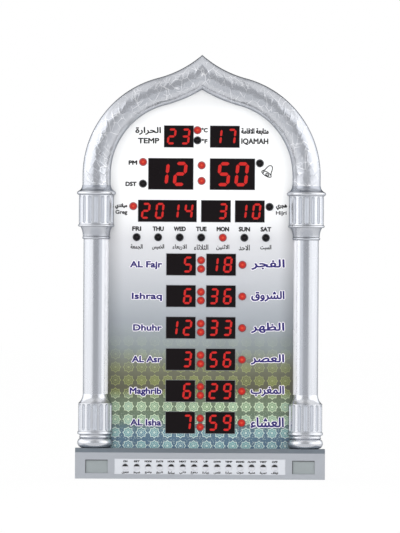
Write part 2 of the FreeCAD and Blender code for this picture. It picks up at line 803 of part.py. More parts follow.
def make_label_strip():
    plate = block("0", STRIP_FRONT, STRIP_Z, dim("strip_width"), dim("strip_thickness"), dim("strip_height"))
    holes = [rod(x, STRIP_FRONT, dim("key_height"), KEY_HOLE, dim("strip_thickness")) for x in KEY_PLACES]
    return cut(plate, group(holes), "key_label_strip")


def make_inset_plates():
    return group([
        block(x, plus(FRONT, dim("inset_sink")), z,
              INSET_WIDTH, dim("inset_thickness"), dim("inset_height"))
        for x, z in sides(INSET_X, INSET_Z)
    ], "inset_plates")


def make_key(index, x):
    """Dished round key with a retaining flange and a stem that presses its switch."""
    body = new_body(f"key_{index:02d}")
    lip = minus(dim("key_radius"), dim("key_rim"))
    bowl = f"(({lip} ^ 2 + Dims.key_dish ^ 2) / (2 * Dims.key_dish))"
    bowl_floor = plus(KEY_FRONT, dim("key_dish"))
    outline = [
        ("0", bowl_floor, ("0", minus(bowl_floor, bowl), -1)),
        (lip, KEY_FRONT, None),
        (dim("key_radius"), KEY_FRONT, None),
        (dim("key_radius"), FLANGE_FRONT, None),
        (dim("key_flange_radius"), FLANGE_FRONT, None),
        (dim("key_flange_radius"), FLANGE_BACK, None),
        (dim("key_stem_radius"), FLANGE_BACK, None),
        (dim("key_stem_radius"), STEM_BACK, None),
        ("0", STEM_BACK, None),
    ]
    profile = sketch(body, "XY_Plane", [outline], ("0", "0", dim("key_height")))
    revolve(body, profile, "360", False)
    body.setExpression("Placement.Base.x", x)
    return body


def make_key_board():
    plate = block("0", KEY_BOARD_FRONT, KEY_BOARD_Z,
                  dim("key_board_width"), dim("board_thickness"), dim("key_board_height"))
    clear = plus(dim("screw_radius"), dim("hole_gap"))
    holes = [rod(x, KEY_BOARD_FRONT, z, clear, dim("board_thickness")) for x, z in KEY_BOSS_PLACES]
    return cut(plate, group(holes), "key_board")


def make_switches():
    side = dim("switch_side")
    return group([
        join([
            block(x, SWITCH_FRONT, dim("key_height"), side, dim("switch_depth"), side),
            rod(x, PLUNGER_FRONT, dim("key_height"), dim("plunger_radius"), dim("plunger_length")),
        ])
        for x in KEY_PLACES
    ], "tact_switches")


# Panel, displays and lamps

def make_front_panel():
    lap = f"(-{dim('panel_lap')})"
    body = new_body("panel_sheet")
    foot = (minus(COLUMN_X, dim("panel_lap")), dim("panel_foot"))
    pad(body, arched_outline(lap, [foot]), FACE, dim("panel_thickness"))
    play = times(2, dim("module_gap"))
    windows = [
        block(x, FACE, z, plus(width, play), dim("panel_thickness"), plus(height, play))
        for modules in DISPLAYS.values() for x, z, (width, height) in modules
    ]
    holes = [
        rod(x, FACE, z, plus(dim("led_radius"), dim("led_gap")), dim("panel_thickness"))
        for places in LAMPS.values() for x, z in places
    ]
    return cut(body, join(windows + holes), "front_panel")


def make_display(label, modules):
    return group([
        block(x, MODULE_FRONT, z, width, dim("module_depth"), height) for x, z, (width, height) in modules
    ], label)


def make_lamps(label, places):
    """Domed lamps that stand on the display board and look through the panel."""
    dome_centre = minus(FACE, dim("led_stand"))
    return group([
        join([
            rod(x, dome_centre, z, dim("led_radius"), minus(BOARD_FRONT, dome_centre)),
            ball(x, dome_centre, z, dim("led_radius")),
        ])
        for x, z in places
    ], label)


# Boards

def make_display_board():
    body = new_body("display_board_sheet")
    side = plus(BOARD_SCREW_X, dim("board_margin"))
    top = above_spring(dim("board_top_rise"))
    right = [(side, dim("board_low")), (side, BOARD_SHOULDER), (dim("board_top_x"), top)]
    outline = [(x, z, None) for x, z in right] + [(f"(-{x})", z, None) for x, z in reversed(right)]
    pad(body, outline, BOARD_FRONT, dim("board_thickness"))
    clear = plus(dim("screw_radius"), dim("hole_gap"))
    holes = [rod(x, BOARD_FRONT, z, clear, dim("board_thickness")) for x, z in BOARD_PLACES]
    return cut(body, group(holes), "display_board")


def screw(x, seat, z, grip):
    """Round-headed screw whose head sits behind the face y = seat."""
    shank = rod(x, minus(seat, grip), z, dim("screw_radius"), grip)
    head = rod(x, seat, z, dim("screw_head_radius"), dim("screw_head"))
    return join([shank, head])


def make_board_screws():
    grip = minus(BOARD_BACK, PANEL_BACK)
    key_grip = minus(KEY_BOARD_BACK, BAR_INSIDE)
    screws = [screw(x, BOARD_BACK, z, grip) for x, z in BOARD_PLACES]
    screws += [screw(x, KEY_BOARD_BACK, z, key_grip) for x, z in KEY_BOSS_PLACES]
    return group(screws, "board_screws")


def make_main_board():
    return group([
        block("0", MAIN_FRONT, MAIN_Z, dim("main_board_width"), dim("board_thickness"),
              dim("main_board_height"))
    ], "main_board")


def make_spacers():
    return group([
        rod(x, BOARD_BACK, z, dim("spacer_radius"), dim("spacer_length")) for x, z in SPACER_PLACES
    ], "board_spacers")


def make_chips():
    return group([
        block(times(index - (CHIP_COUNT - 1) / 2, dim("chip_pitch")), MAIN_BACK, MAIN_Z,
              dim("chip_width"), dim("chip_depth"), dim("chip_length"))
        for index in range(CHIP_COUNT)
    ], "board_chips")


def make_coin_cell():
    z = plus(MAIN_LOW, dim("cell_foot_gap"))
    inside = plus(dim("cell_radius"), dim("cell_gap"))
    depth = plus(dim("holder_floor"), dim("cell_thickness"))
    seat = plus(MAIN_BACK, dim("holder_floor"))
    holder = cut(
        rod(CELL_X, MAIN_BACK, z, plus(inside, dim("holder_wall")), depth),
        rod(CELL_X, seat, z, inside, dim("cell_thickness")), "coin_cell_holder")
    cell = group([rod(CELL_X, seat, z, dim("cell_radius"), dim("cell_thickness"))], "coin_cell")
    return [holder, cell]


# Rear cover, speaker and power inlet

SPEAKER_Z = above_spring(dim("speaker_rise"))


def make_rear_cover():
    """Flat back with sunk screw seats, two wall keyholes and a slotted grille."""
    body = new_body("cover_sheet")
    pad(body, casing_outline(plus(dim("frame_wall"), dim("cover_gap"))), COVER_FRONT, dim("cover_thickness"))
    thick = dim("cover_thickness")
    clear = plus(dim("screw_radius"), dim("hole_gap"))
    sunk = minus(BACK, dim("screw_head"))
    tools = [rod(x, COVER_FRONT, z, clear, thick) for x, z in POST_PLACES]
    tools += [
        rod(x, sunk, z, plus(dim("screw_head_radius"), dim("seat_gap")), dim("screw_head"))
        for x, z in POST_PLACES
    ]
    slot_radius = "(Dims.keyhole_slot / 2)"
    for x, z in sides(dim("keyhole_x"), above_spring(dim("keyhole_rise"))):
        tools.append(rod(x, COVER_FRONT, z, dim("keyhole_radius"), thick))
        middle = plus(z, "Dims.keyhole_length / 2")
        tools.append(block(x, COVER_FRONT, middle, dim("keyhole_slot"), thick, dim("keyhole_length")))
        tools.append(rod(x, COVER_FRONT, plus(z, dim("keyhole_length")), slot_radius, thick))
    for index in range(GRILLE_COUNT):
        x = times(index - (GRILLE_COUNT - 1) / 2, dim("grille_pitch"))
        chord = f"(2 * sqrt((Dims.speaker_radius - Dims.grille_pitch) ^ 2 - {x} ^ 2))"
        tools.append(block(x, COVER_FRONT, SPEAKER_Z, dim("grille_slot"), thick, chord))
    return cut(body, join(tools), "rear_cover")


def make_cover_screws():
    seat = minus(BACK, dim("screw_head"))
    grip = minus(plus(seat, dim("screw_length")), COVER_FRONT)
    return group([screw(x, seat, z, grip) for x, z in POST_PLACES], "rear_cover_screws")


def make_speaker():
    """Basket with its magnet, and the paper cone inside it, both opening on the rear cover."""
    rim = minus(COVER_FRONT, dim("speaker_flange"))
    throat = minus(rim, dim("speaker_depth"))
    wide = minus(dim("speaker_radius"), dim("basket_wall"), dim("basket_wall"))
    shell = join([
        rod("0", rim, SPEAKER_Z, dim("speaker_radius"), dim("speaker_flange")),
        cone("0", throat, SPEAKER_Z, plus(dim("speaker_throat"), dim("basket_wall")),
             plus(wide, dim("basket_wall")), dim("speaker_depth")),
        rod("0", minus(throat, dim("magnet_depth")), SPEAKER_Z, dim("magnet_radius"), dim("magnet_depth")),
    ])
    hollow = join([
        cone("0", throat, SPEAKER_Z, dim("speaker_throat"), wide, dim("speaker_depth")),
        rod("0", rim, SPEAKER_Z, wide, dim("speaker_flange")),
    ])
    basket = cut(shell, hollow, "speaker_basket")
    gap = dim("cone_gap")
    skin = dim("cone_thickness")
    outer = cone("0", throat, SPEAKER_Z, minus(dim("speaker_throat"), gap), minus(wide, gap),
                 dim("speaker_depth"))
    inner = cone("0", plus(throat, skin), SPEAKER_Z, minus(dim("speaker_throat"), gap, skin),
                 minus(wide, gap, skin), dim("speaker_depth"))
    return [basket, cut(outer, inner, "speaker_cone")]


def make_jack():
    """Round panel socket for a barrel plug, with its centre pin and its back nut."""
    y, z = dim("jack_y"), dim("jack_z")
    mouth = plus(CASING_X, dim("jack_flange"))
    barrel = join([
        rod(minus(CASING_X, dim("jack_length")), y, z, dim("jack_radius"), dim("jack_length"), TOWARDS_RIGHT),
        rod(CASING_X, y, z, dim("jack_flange_radius"), dim("jack_flange"), TOWARDS_RIGHT),
    ])
    floor = minus(mouth, dim("jack_bore_length"))
    bore = rod(floor, y, z, dim("jack_bore_radius"), dim("jack_bore_length"), TOWARDS_RIGHT)
    pin = rod(floor, y, z, dim("jack_pin_radius"), minus(dim("jack_bore_length"), dim("jack_flange")),
              TOWARDS_RIGHT)
    jack = join([cut(barrel, bore), pin], "dc_jack")
    ring = doc.addObject("Part::Prism", "nut_blank")
    ring.Placement = FreeCAD.Placement(FreeCAD.Vector(), TOWARDS_RIGHT)
    ring.Polygon = 6
    ring.setExpression("Circumradius", dim("jack_nut_radius"))
    ring.setExpression("Height", dim("jack_nut_thickness"))
    seat = minus(CASING_INSIDE, dim("jack_nut_thickness"))
    put(ring, seat, y, z)
    eye = rod(seat, y, z, plus(dim("jack_radius"), dim("thread_gap")), dim("jack_nut_thickness"), TOWARDS_RIGHT)
    return [jack, cut(ring, eye, "dc_jack_nut")]


def make_pieces():
    pieces = [make_front_frame(), make_arch()]
    pieces += make_column()
    pieces += [make_base_bar(), make_label_strip(), make_inset_plates(), make_front_panel()]
    pieces += [make_key(index, x) for index, x in enumerate(KEY_PLACES, start=1)]
    pieces += [make_key_board(), make_switches()]
    pieces += [make_display(label, modules) for label, modules in DISPLAYS.items()]
    pieces += [make_lamps(label, places) for label, places in LAMPS.items()]
    pieces += [make_display_board(), make_board_screws(), make_main_board(), make_spacers(), make_chips()]
    pieces += make_coin_cell()
    pieces += [make_rear_cover(), make_cover_screws()]
    pieces += make_speaker()
    pieces += make_jack()
    return pieces


def check(pieces):
    for thing in doc.Objects:
        if "Invalid" in thing.State or "Error" in thing.State:
            raise ValueError(f"{thing.Name} ({thing.Label}) failed: {thing.State}")
    for piece in pieces:
        shape = piece.Shape
        if shape.isNull() or not shape.isValid() or not shape.Solids:
            raise ValueError(f"{piece.Label} has no valid solid")


def export(pieces):
    os.makedirs("parts", exist_ok=True)
    for piece in pieces:
        piece.Shape.exportStep(f"parts/{piece.Label}.step")
        print(f"{piece.Label}: {len(piece.Shape.Solids)} solids, {piece.Shape.Volume / 1000:.2f} cm3")


all_pieces = make_pieces()
doc.recompute()
check(all_pieces)
export(all_pieces)
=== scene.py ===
import math
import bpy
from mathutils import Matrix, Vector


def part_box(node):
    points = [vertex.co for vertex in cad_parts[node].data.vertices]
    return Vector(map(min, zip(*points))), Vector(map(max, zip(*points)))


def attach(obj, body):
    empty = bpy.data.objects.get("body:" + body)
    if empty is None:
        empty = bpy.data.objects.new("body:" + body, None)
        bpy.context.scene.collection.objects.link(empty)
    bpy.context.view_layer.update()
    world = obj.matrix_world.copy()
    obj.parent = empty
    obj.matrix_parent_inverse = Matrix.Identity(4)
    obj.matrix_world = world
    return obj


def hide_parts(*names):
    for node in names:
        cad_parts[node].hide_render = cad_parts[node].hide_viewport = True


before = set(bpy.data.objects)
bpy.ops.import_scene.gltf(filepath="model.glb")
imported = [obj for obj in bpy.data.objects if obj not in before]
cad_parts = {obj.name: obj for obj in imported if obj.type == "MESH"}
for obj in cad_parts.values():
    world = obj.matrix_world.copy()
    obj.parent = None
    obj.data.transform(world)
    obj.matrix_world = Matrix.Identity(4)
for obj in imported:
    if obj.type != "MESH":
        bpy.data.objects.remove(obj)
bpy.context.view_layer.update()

import unicodedata
from functools import partialmethod

import bmesh
import bpy
from mathutils import Vector
from mathutils.geometry import delaunay_2d_cdt

MM = 0.001

# Planes and heights read from the frame, in metres
FACE_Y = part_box("arch_moulding")[1][1]
MODULE_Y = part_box("hour_display")[0][1]
BAR_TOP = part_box("base_bar")[1][2]
BASE_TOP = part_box("left_column_base")[1][2]
SHAFT_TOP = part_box("left_shaft")[1][2]
CAPITAL_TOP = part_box("left_capital")[1][2]
STRIP_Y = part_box("key_label_strip")[0][1]
COLUMN_X = (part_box("right_capital")[0][0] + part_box("right_capital")[1][0]) / 2

# Arch, in metres
ARCH_RADIUS = 112.5 * MM
CREST_RADIUS = 160.3 * MM
ARCH_SWEEP = math.radians(75.3)
TUBE_RADIUS = 18.3 * MM
SPRING_Z = CAPITAL_TOP + 13.5 * MM
ARCH_X = COLUMN_X - ARCH_RADIUS
CREST_X = ARCH_X + (ARCH_RADIUS + CREST_RADIUS) * math.cos(ARCH_SWEEP)
CREST_Z = SPRING_Z + (ARCH_RADIUS + CREST_RADIUS) * math.sin(ARCH_SWEEP)

SHAFT_RADIUS = 16.3 * MM


def srgb(*values):
    """Linear colour of an 8-bit screen colour."""
    shares = [value / 255 for value in values]
    linear = [share / 12.92 if share <= 0.04045 else ((share + 0.055) / 1.055) ** 2.4 for share in shares]
    return (*linear, 1.0)


# Materials

class Nodes:
    """Short forms for the nodes of one material or world."""

    def __init__(self, tree):
        self.tree = tree
        self.shader = tree.nodes.get("Principled BSDF")

    def feed(self, value, target):
        if isinstance(value, bpy.types.NodeSocket):
            self.tree.links.new(value, target)
        else:
            target.default_value = value

    def add(self, kind, inputs=None, **settings):
        """Outputs of a new node whose inputs are fed by number or by name."""
        node = self.tree.nodes.new(kind)
        for key, value in settings.items():
            setattr(node, key, value)
        for key, value in (inputs or {}).items():
            self.feed(value, node.inputs[key])
        return node.outputs

    def wear(self, **values):
        """Feeds the shader's inputs, named with _ for each space."""
        for name, value in values.items():
            self.feed(value, self.shader.inputs[name.replace("_", " ")])

    def math(self, operation, *values):
        return self.add("ShaderNodeMath", dict(enumerate(values)), operation=operation)[0]

    times = partialmethod(math, "MULTIPLY")
    plus = partialmethod(math, "ADD")
    minus = partialmethod(math, "SUBTRACT")
    most = partialmethod(math, "MAXIMUM")
    size = partialmethod(math, "ABSOLUTE")

    def mix(self, factor, first, second, blend="MIX"):
        inputs = {"Factor": factor, 6: first, 7: second}
        return self.add("ShaderNodeMix", inputs, data_type="RGBA", blend_type=blend)[2]

    def tint(self, colour, shade):
        return self.mix(1.0, colour, shade, "MULTIPLY")

    def ramp(self, factor, stops):
        shown = self.add("ShaderNodeValToRGB", {0: factor})[0]
        elements = shown.node.color_ramp.elements
        while len(elements) < len(stops):
            elements.new(0.5)
        for element, (place, colour) in zip(elements, stops):
            element.position = place
            element.color = colour
        return shown

    def span(self, value, low, high, new_low=0.0, new_high=1.0, kind="SMOOTHSTEP"):
        """Value carried from one range to another, held at the ends."""
        inputs = dict(enumerate((value, low, high, new_low, new_high)))
        return self.add("ShaderNodeMapRange", inputs, interpolation_type=kind)[0]

    def place(self):
        """The surface point in metres, in the row frame."""
        return self.add("ShaderNodeTexCoord")["Object"]

    def split(self, vector):
        return self.add("ShaderNodeSeparateXYZ", {0: vector})

    def normal(self, kind="Normal"):
        """Parts of the direction that the surface faces."""
        return self.split(self.add("ShaderNodeNewGeometry")[kind])

    def stretch(self, vector, factors):
        return self.add("ShaderNodeVectorMath", {0: vector, 1: factors}, operation="MULTIPLY")[0]

    def noise(self, vector, scale, detail=2.0):
        return self.add("ShaderNodeTexNoise", {"Vector": vector, "Scale": scale, "Detail": detail})[0]

    def cells(self, vector, scale, feature="F1"):
        """Distance to the nearest cell's middle or, with another feature, to its edge."""
        inputs = {"Vector": vector, "Scale": scale}
        return self.add("ShaderNodeTexVoronoi", inputs, feature=feature)["Distance"]


def material(name, **values):
    made = bpy.data.materials.new(name)
    made.use_nodes = True
    nodes = Nodes(made.node_tree)
    nodes.wear(**values)
    return made, nodes


BROAD_SCALE = 14.0
GRAIN_RELIEF = 0.2 * MM


def coated(name, colour, roughness, grain=0.04, scale=900.0, bump=0.02, **values):
    """Even colour with a fine grain in tone, roughness and relief."""
    made, nodes = material(name, **values)
    point = nodes.place()
    fine = nodes.noise(point, scale)
    broad = nodes.noise(point, BROAD_SCALE)
    tone = nodes.plus(nodes.times(fine, grain), nodes.times(broad, grain))
    even = nodes.tint(srgb(*colour), nodes.plus(nodes.minus(1.0, grain), tone))
    relief = nodes.add("ShaderNodeBump", {"Strength": bump, "Distance": GRAIN_RELIEF, "Height": fine})
    nodes.wear(Base_Color=even, Normal=relief[0],
               Roughness=nodes.span(broad, 0.3, 0.7, roughness * 0.85, roughness * 1.15))
    return made, nodes, even


def grained(*values, **settings):
    return coated(*values, **settings)[0]


def glowing(name, colour):
    """Lit plastic: dark red by itself, with the given colour of its own light."""
    made, nodes = material(name, Base_Color=srgb(40, 6, 6), Roughness=0.35, Specular_IOR_Level=0.2,
                           Emission_Strength=1.0)
    tone = nodes.span(nodes.noise(nodes.place(), 500.0), 0.3, 0.7, 0.96, 1.04)
    nodes.wear(Emission_Color=nodes.tint(srgb(*colour), tone))
    return made


CASING_GREY = grained("casing_paint", (178, 181, 190), 0.38, Metallic=0.6, grain=0.03, bump=0.05)
STRIP_WHITE = grained("strip_white", (206, 209, 215), 0.45, grain=0.01, bump=0.01)
INSET_GREY = grained("inset_grey_green", (146, 153, 155), 0.5, grain=0.05, bump=0.05)
# Painted shadow: dark grey of the strips that stand in for the shade above and left of each plate
SHADOW_GREY = grained("painted_recess_shadow", (74, 76, 80), 0.6, grain=0.05)
WINDOW_BLACK = grained("window_black", (14, 8, 11), 0.3, grain=0.2, bump=0.01, Specular_IOR_Level=0.12)
BEZEL_GREY = grained("bezel_grey", (124, 126, 132), 0.5, grain=0.03)
SEGMENT_RED = glowing("segment_red", (208, 36, 32))
LAMP_EDGE = glowing("lamp_lens_edge", (158, 34, 32))
LAMP_RED = glowing("lamp_lens", (192, 40, 32))
LAMP_HOT = glowing("lamp_hot_spot", (220, 74, 46))
LAMP_RIM = grained("lamp_rim", (126, 70, 72), 0.4, grain=0.05)
DARK_LENS = grained("lamp_dark", (8, 7, 9), 0.2, grain=0.1, Specular_IOR_Level=0.12)
DARK_DIE = grained("lamp_dark_die", (30, 27, 31), 0.3, grain=0.1, Specular_IOR_Level=0.12)
DARK_RIM = grained("lamp_dark_rim", (62, 64, 70), 0.4, grain=0.05)
BLACK_INK = grained("black_ink", (12, 12, 15), 0.5, grain=0.02)
PURPLE_INK = grained("purple_ink", (34, 18, 104), 0.5, grain=0.05)
WHITE_INK = grained("white_ink", (250, 246, 253), 0.5, grain=0.01)
BOARD_GREEN = grained("solder_mask", (28, 92, 54), 0.35, grain=0.15, scale=300.0)
BLACK_PLASTIC = grained("black_plastic", (26, 26, 28), 0.45, grain=0.1)
STEEL = grained("zinc_steel", (186, 187, 190), 0.3, Metallic=1.0, grain=0.06)
BRASS = grained("turned_brass", (196, 164, 96), 0.3, Metallic=1.0, grain=0.06)
PAPER = grained("speaker_pulp", (44, 42, 42), 0.8, grain=0.3, scale=1500.0, bump=0.3)
COVER_GREY = grained("cover_plastic", (208, 208, 206), 0.5, grain=0.03, scale=1400.0, bump=0.12)


def make_key_material():
    """Grey funnel whose overhanging upper wall is painted black as shade."""
    made, nodes = material("key_funnel", Roughness=0.4)
    _, back, up = nodes.normal("True Normal")
    # painted shade: black where the wall faces down and to the front
    dark = nodes.times(nodes.span(up, -0.05, -0.12), nodes.span(back, -0.1, -0.2))
    grey = nodes.mix(nodes.noise(nodes.place(), 900.0), srgb(196, 198, 204), srgb(214, 215, 222))
    nodes.wear(Base_Color=nodes.mix(dark, grey, srgb(14, 14, 16)))
    return made


KEY_GREY = make_key_material()


# Share of light that the metal gives back at its very edge
EDGE_TINT = (0.25, 0.27, 0.3, 1.0)
# Greys of painted shade, and the pale colour of painted highlights
FRONT_SHADE_GREY = srgb(122, 129, 142)
SHADE_BAND_GREY = srgb(112, 119, 133)
GLINT = srgb(250, 251, 255)


def make_silver(name, front_shade_share):
    """Silver paint, with painted shade that makes it a little greyer where the surface faces the front."""
    made, nodes, even = coated(name, (214, 216, 221), 0.26, Metallic=0.94, grain=0.03, bump=0.01,
                               Specular_Tint=EDGE_TINT)
    # painted shade: greyer where the surface faces the front
    front = nodes.span(nodes.normal()[1], -0.82, -0.97, 0.0, front_shade_share)
    colour = nodes.mix(front, even, FRONT_SHADE_GREY)
    nodes.wear(Base_Color=colour)
    return made, nodes, colour


# Vein nets of painted highlights on the arch: cells to the metre and width of a vein as a share of a cell
VEIN_GLINT_NETS = ((60.0, 0.035), (115.0, 0.05))


def make_arch_silver():
    """Silver with a net of fine veins, like frost, painted pale as highlights."""
    made, nodes, even = make_silver("arch_silver", 0.3)
    point = nodes.place()
    colour = nodes.mix(0.18, even, srgb(130, 136, 148))
    upright = nodes.stretch(point, (1.0, 1.0, 0.7))
    # painted highlight: pale veins in patches
    for scale, width in VEIN_GLINT_NETS:
        vein = nodes.span(nodes.cells(upright, scale, "DISTANCE_TO_EDGE"), width, 0.0, 0.0, 0.7)
        patch = nodes.span(nodes.noise(point, scale * 0.8), 0.45, 0.62)
        colour = nodes.mix(nodes.times(vein, patch), colour, GLINT)
    nodes.wear(Base_Color=colour)
    return made


def make_capital_silver():
    """Silver with painted shade that makes it greyer on the coves above and below a capital's drum."""
    made, nodes, even = make_silver("capital_silver", 0.32)
    up = nodes.split(nodes.place())[2]
    # painted shade on the upper and the lower cove
    above = nodes.span(up, CAPITAL_TOP - 8.0 * MM, CAPITAL_TOP - 6.5 * MM, 0.0, 0.55)
    below = nodes.span(up, SHAFT_TOP + 17.5 * MM, SHAFT_TOP + 15.5 * MM, 0.0, 0.26)
    grey = nodes.most(above, below)
    nodes.wear(Base_Color=nodes.mix(grey, even, SHADE_BAND_GREY))
    return made


# Where each tone of a shaft starts and ends, in millimetres outwards from its middle: a band and the outer
# side of painted shade, an inner edge of painted highlight
SHADE_BAND_INNER = (-9.0, -7.0)
SHADE_BAND_OUTER = (5.5, 1.5)
OUTER_SHADE_SIDE = (0.0, 3.0)
GLINT_SIDE = (-14.2, -10.2)


def make_shaft_silver():
    """Silver with a grey band of painted shade round each shaft's middle, faint streaks of painted shade
    outside it and a painted highlight along the inner edge.
    """
    made, nodes, even = make_silver("shaft_silver", 0.1)
    point = nodes.place()
    across = nodes.size(nodes.split(point)[0])

    def beside(limits, *levels):
        start, end = (COLUMN_X + limit * MM for limit in limits)
        return nodes.span(across, start, end, *levels)

    # painted shade: the grey band and the streaked outer side
    shade_band = nodes.times(nodes.times(beside(SHADE_BAND_INNER), beside(SHADE_BAND_OUTER)), 0.46)
    outer_shade = beside(OUTER_SHADE_SIDE, 0.0, 0.16)
    upright = nodes.stretch(point, (1.0, 1.0, 0.02))
    streak = nodes.span(nodes.noise(upright, 700.0), 0.35, 0.65, 0.6, 1.0)
    shade = nodes.most(shade_band, nodes.times(outer_shade, streak))
    # painted highlight: a pale, less metallic inner edge
    inner_highlight = beside(GLINT_SIDE, 1.0, 0.0)
    nodes.wear(Base_Color=nodes.mix(inner_highlight, nodes.mix(shade, even, SHADE_BAND_GREY), GLINT),
               Metallic=nodes.span(inner_highlight, 0.0, 1.0, 0.94, 0.25))
    return made


def make_bar_silver():
    """Satin bar paint, with painted shade that makes it darker on the bevel along its top edge."""
    made, nodes, even = coated("bar_silver", (179, 183, 190), 0.36, Metallic=0.7, grain=0.03, bump=0.05)
    # painted shade where the bevel faces partly up
    bevel_shade = nodes.span(nodes.normal("True Normal")[2], 0.15, 0.4, 0.0, 0.62)
    nodes.wear(Base_Color=nodes.mix(bevel_shade, even, srgb(96, 112, 124)))
    return made


SILVER = make_silver("silver_paint", 0.32)[0]
# Painted shade: darker silver in the grooves of the flutes
FLUTE_SHADE_SILVER = grained("flute_shaded_silver", (194, 198, 206), 0.42, Metallic=0.8, grain=0.03,
                       Specular_Tint=EDGE_TINT)
BAR_SILVER = make_bar_silver()
SHAFT_SILVER = make_shaft_silver()
ARCH_SILVER = make_arch_silver()
CAPITAL_SILVER = make_capital_silver()

# Colours of the printed panel by height, in millimetres up from the base
PRINT_STOPS = (
    (40, (84, 116, 136)), (62, (112, 146, 154)), (88, (132, 150, 126)), (118, (100, 99, 74)),
    (142, (114, 117, 96)), (168, (136, 146, 148)), (205, (152, 158, 165)), (240, (175, 179, 185)),
    (280, (197, 199, 204)), (309, (210, 211, 215)), (335, (232, 233, 235)), (362, (247, 248, 249)),
)
PRINT_LOW, PRINT_HIGH = PRINT_STOPS[0][0], PRINT_STOPS[-1][0]

# Heights between which a part of the print comes in, in millimetres
MIDDLE_ZONE = (58, 78)
HIGH_ZONE = (98, 116)
SPECK_ZONE = (120, 50)
STAR_ZONE = (206, 78)
CLOUD_ZONE = (240, 150)

# Low, middle and high zone: two tile colours, the ground between tiles and the lines
TILES = (
    ((56, 110, 140), (104, 164, 166), (66, 98, 124), (212, 230, 222)),
    ((104, 138, 98), (142, 176, 154), (80, 98, 75), (208, 224, 190)),
    ((118, 132, 44), (62, 68, 30), (66, 66, 50), (160, 167, 98)),
)
STAR_CELL = 17.0 * MM

# Sizes of a star as shares of its cell
STAR_SIZE = 0.29
RING_SIZE = STAR_SIZE * 0.55
CORE_SIZE = STAR_SIZE * 0.3
STAR_LINE = 0.035


def make_panel_print():
    """White above, fading down into a lattice of eight-point stars in olive, lime and teal."""
    made, nodes = material("panel_print", Roughness=0.3, Coat_Weight=0.3)
    point = nodes.place()
    across, _, up = nodes.split(point)

    def zone(limits):
        return nodes.span(up, limits[0] * MM, limits[1] * MM)

    height = nodes.span(up, PRINT_LOW * MM, PRINT_HIGH * MM, kind="LINEAR")
    ground = nodes.ramp(height, [((level - PRINT_LOW) / (PRINT_HIGH - PRINT_LOW), srgb(*colour))
                                 for level, colour in PRINT_STOPS])

    # star lattice: distance to a square and to the same square turned by 45 degrees
    cells = [nodes.math("DIVIDE", part, STAR_CELL) for part in (across, up)]
    side_x, side_z = (nodes.size(nodes.minus(nodes.math("FRACT", cell), 0.5))
                      for cell in cells)
    square = nodes.most(side_x, side_z)
    diamond = nodes.times(nodes.plus(side_x, side_z), math.sqrt(0.5))
    star = nodes.math("MINIMUM", square, diamond)

    def line_at(size, start, end):
        return nodes.span(nodes.size(nodes.minus(star, size)), start, end)

    line = line_at(STAR_SIZE, STAR_LINE, STAR_LINE * 0.6)
    ring = nodes.times(line_at(RING_SIZE, STAR_LINE * 0.7, STAR_LINE * 0.3), 0.75)
    inside = nodes.span(star, STAR_SIZE, STAR_SIZE - 0.01)
    core = nodes.span(star, CORE_SIZE, CORE_SIZE - 0.02)

    # each cell has its own tone
    floors = [nodes.math("FLOOR", cell) for cell in cells]
    corner = nodes.add("ShaderNodeCombineXYZ", dict(enumerate(floors)))
    tone = nodes.add("ShaderNodeTexWhiteNoise", {"Vector": corner[0]}, noise_dimensions="2D")["Value"]
    middle_zone, high_zone = zone(MIDDLE_ZONE), zone(HIGH_ZONE)

    def zoned(low, middle, high):
        return nodes.mix(high_zone, nodes.mix(middle_zone, low, middle), high)

    tile = zoned(*(nodes.mix(tone, srgb(*first), srgb(*second)) for first, second, _, _ in TILES))
    between = zoned(*(srgb(*colours[2]) for colours in TILES))
    glow = zoned(*(srgb(*colours[3]) for colours in TILES))
    pattern = nodes.mix(inside, between, tile)
    for part in (ring, core, line):
        pattern = nodes.mix(part, pattern, glow)

    # fine speckle, strongest low down
    light = nodes.times(nodes.span(nodes.cells(point, 560.0), 0.34, 0.2), 0.55)
    pattern = nodes.mix(nodes.times(light, zone(SPECK_ZONE)), pattern, srgb(226, 238, 222))
    colour = nodes.mix(nodes.times(zone(STAR_ZONE), 0.8), ground, pattern)
    cloud = nodes.span(nodes.noise(point, 26.0, 3.0), 0.3, 0.7, 0.88, 1.05)
    colour = nodes.mix(zone(CLOUD_ZONE), colour, nodes.tint(colour, cloud))

    # painted shade: the print darkens towards the columns and the arch
    beside = nodes.most(nodes.minus(nodes.size(across), ARCH_X), 0.0)
    above = nodes.most(nodes.minus(up, SPRING_Z), 0.0)
    squares = nodes.plus(nodes.math("POWER", beside, 2.0), nodes.math("POWER", above, 2.0))
    edge = nodes.minus(ARCH_RADIUS, nodes.math("SQRT", squares))
    depth = nodes.span(up, SPRING_Z + 10 * MM, SPRING_Z - 50 * MM, 0.15, 0.3)
    near = nodes.span(edge, 16 * MM, 38 * MM, 1.0, 0.0)
    painted_shade = nodes.minus(1.0, nodes.times(depth, near))
    nodes.wear(Base_Color=nodes.tint(colour, painted_shade))
    return made


PANEL_PRINT = make_panel_print()

NODE_MATERIALS = (
    (CASING_GREY, "front_frame"), (BAR_SILVER, "base_bar"), (STRIP_WHITE, "key_label_strip"),
    (INSET_GREY, "inset_plates"), (PANEL_PRINT, "front_panel"), (COVER_GREY, "rear_cover"),
    (BOARD_GREEN, "key_board display_board main_board"), (PAPER, "speaker_cone"),
    (BLACK_PLASTIC, "tact_switches board_chips coin_cell_holder dc_jack"), (BRASS, "board_spacers"),
    (STEEL, "board_screws coin_cell rear_cover_screws speaker_basket dc_jack_nut"),
)


def dress_nodes():
    dresses = {name: dress for dress, names in NODE_MATERIALS for name in names.split()}
    for name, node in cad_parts.items():
        if name.endswith("_display"):
            dresses[name] = WINDOW_BLACK
        elif name.startswith("key_"):
            dresses.setdefault(name, KEY_GREY)
        if name in dresses:
            for holder in node.material_slots:
                holder.material = dresses[name]


# Meshes

MERGE_REACH = 1e-6


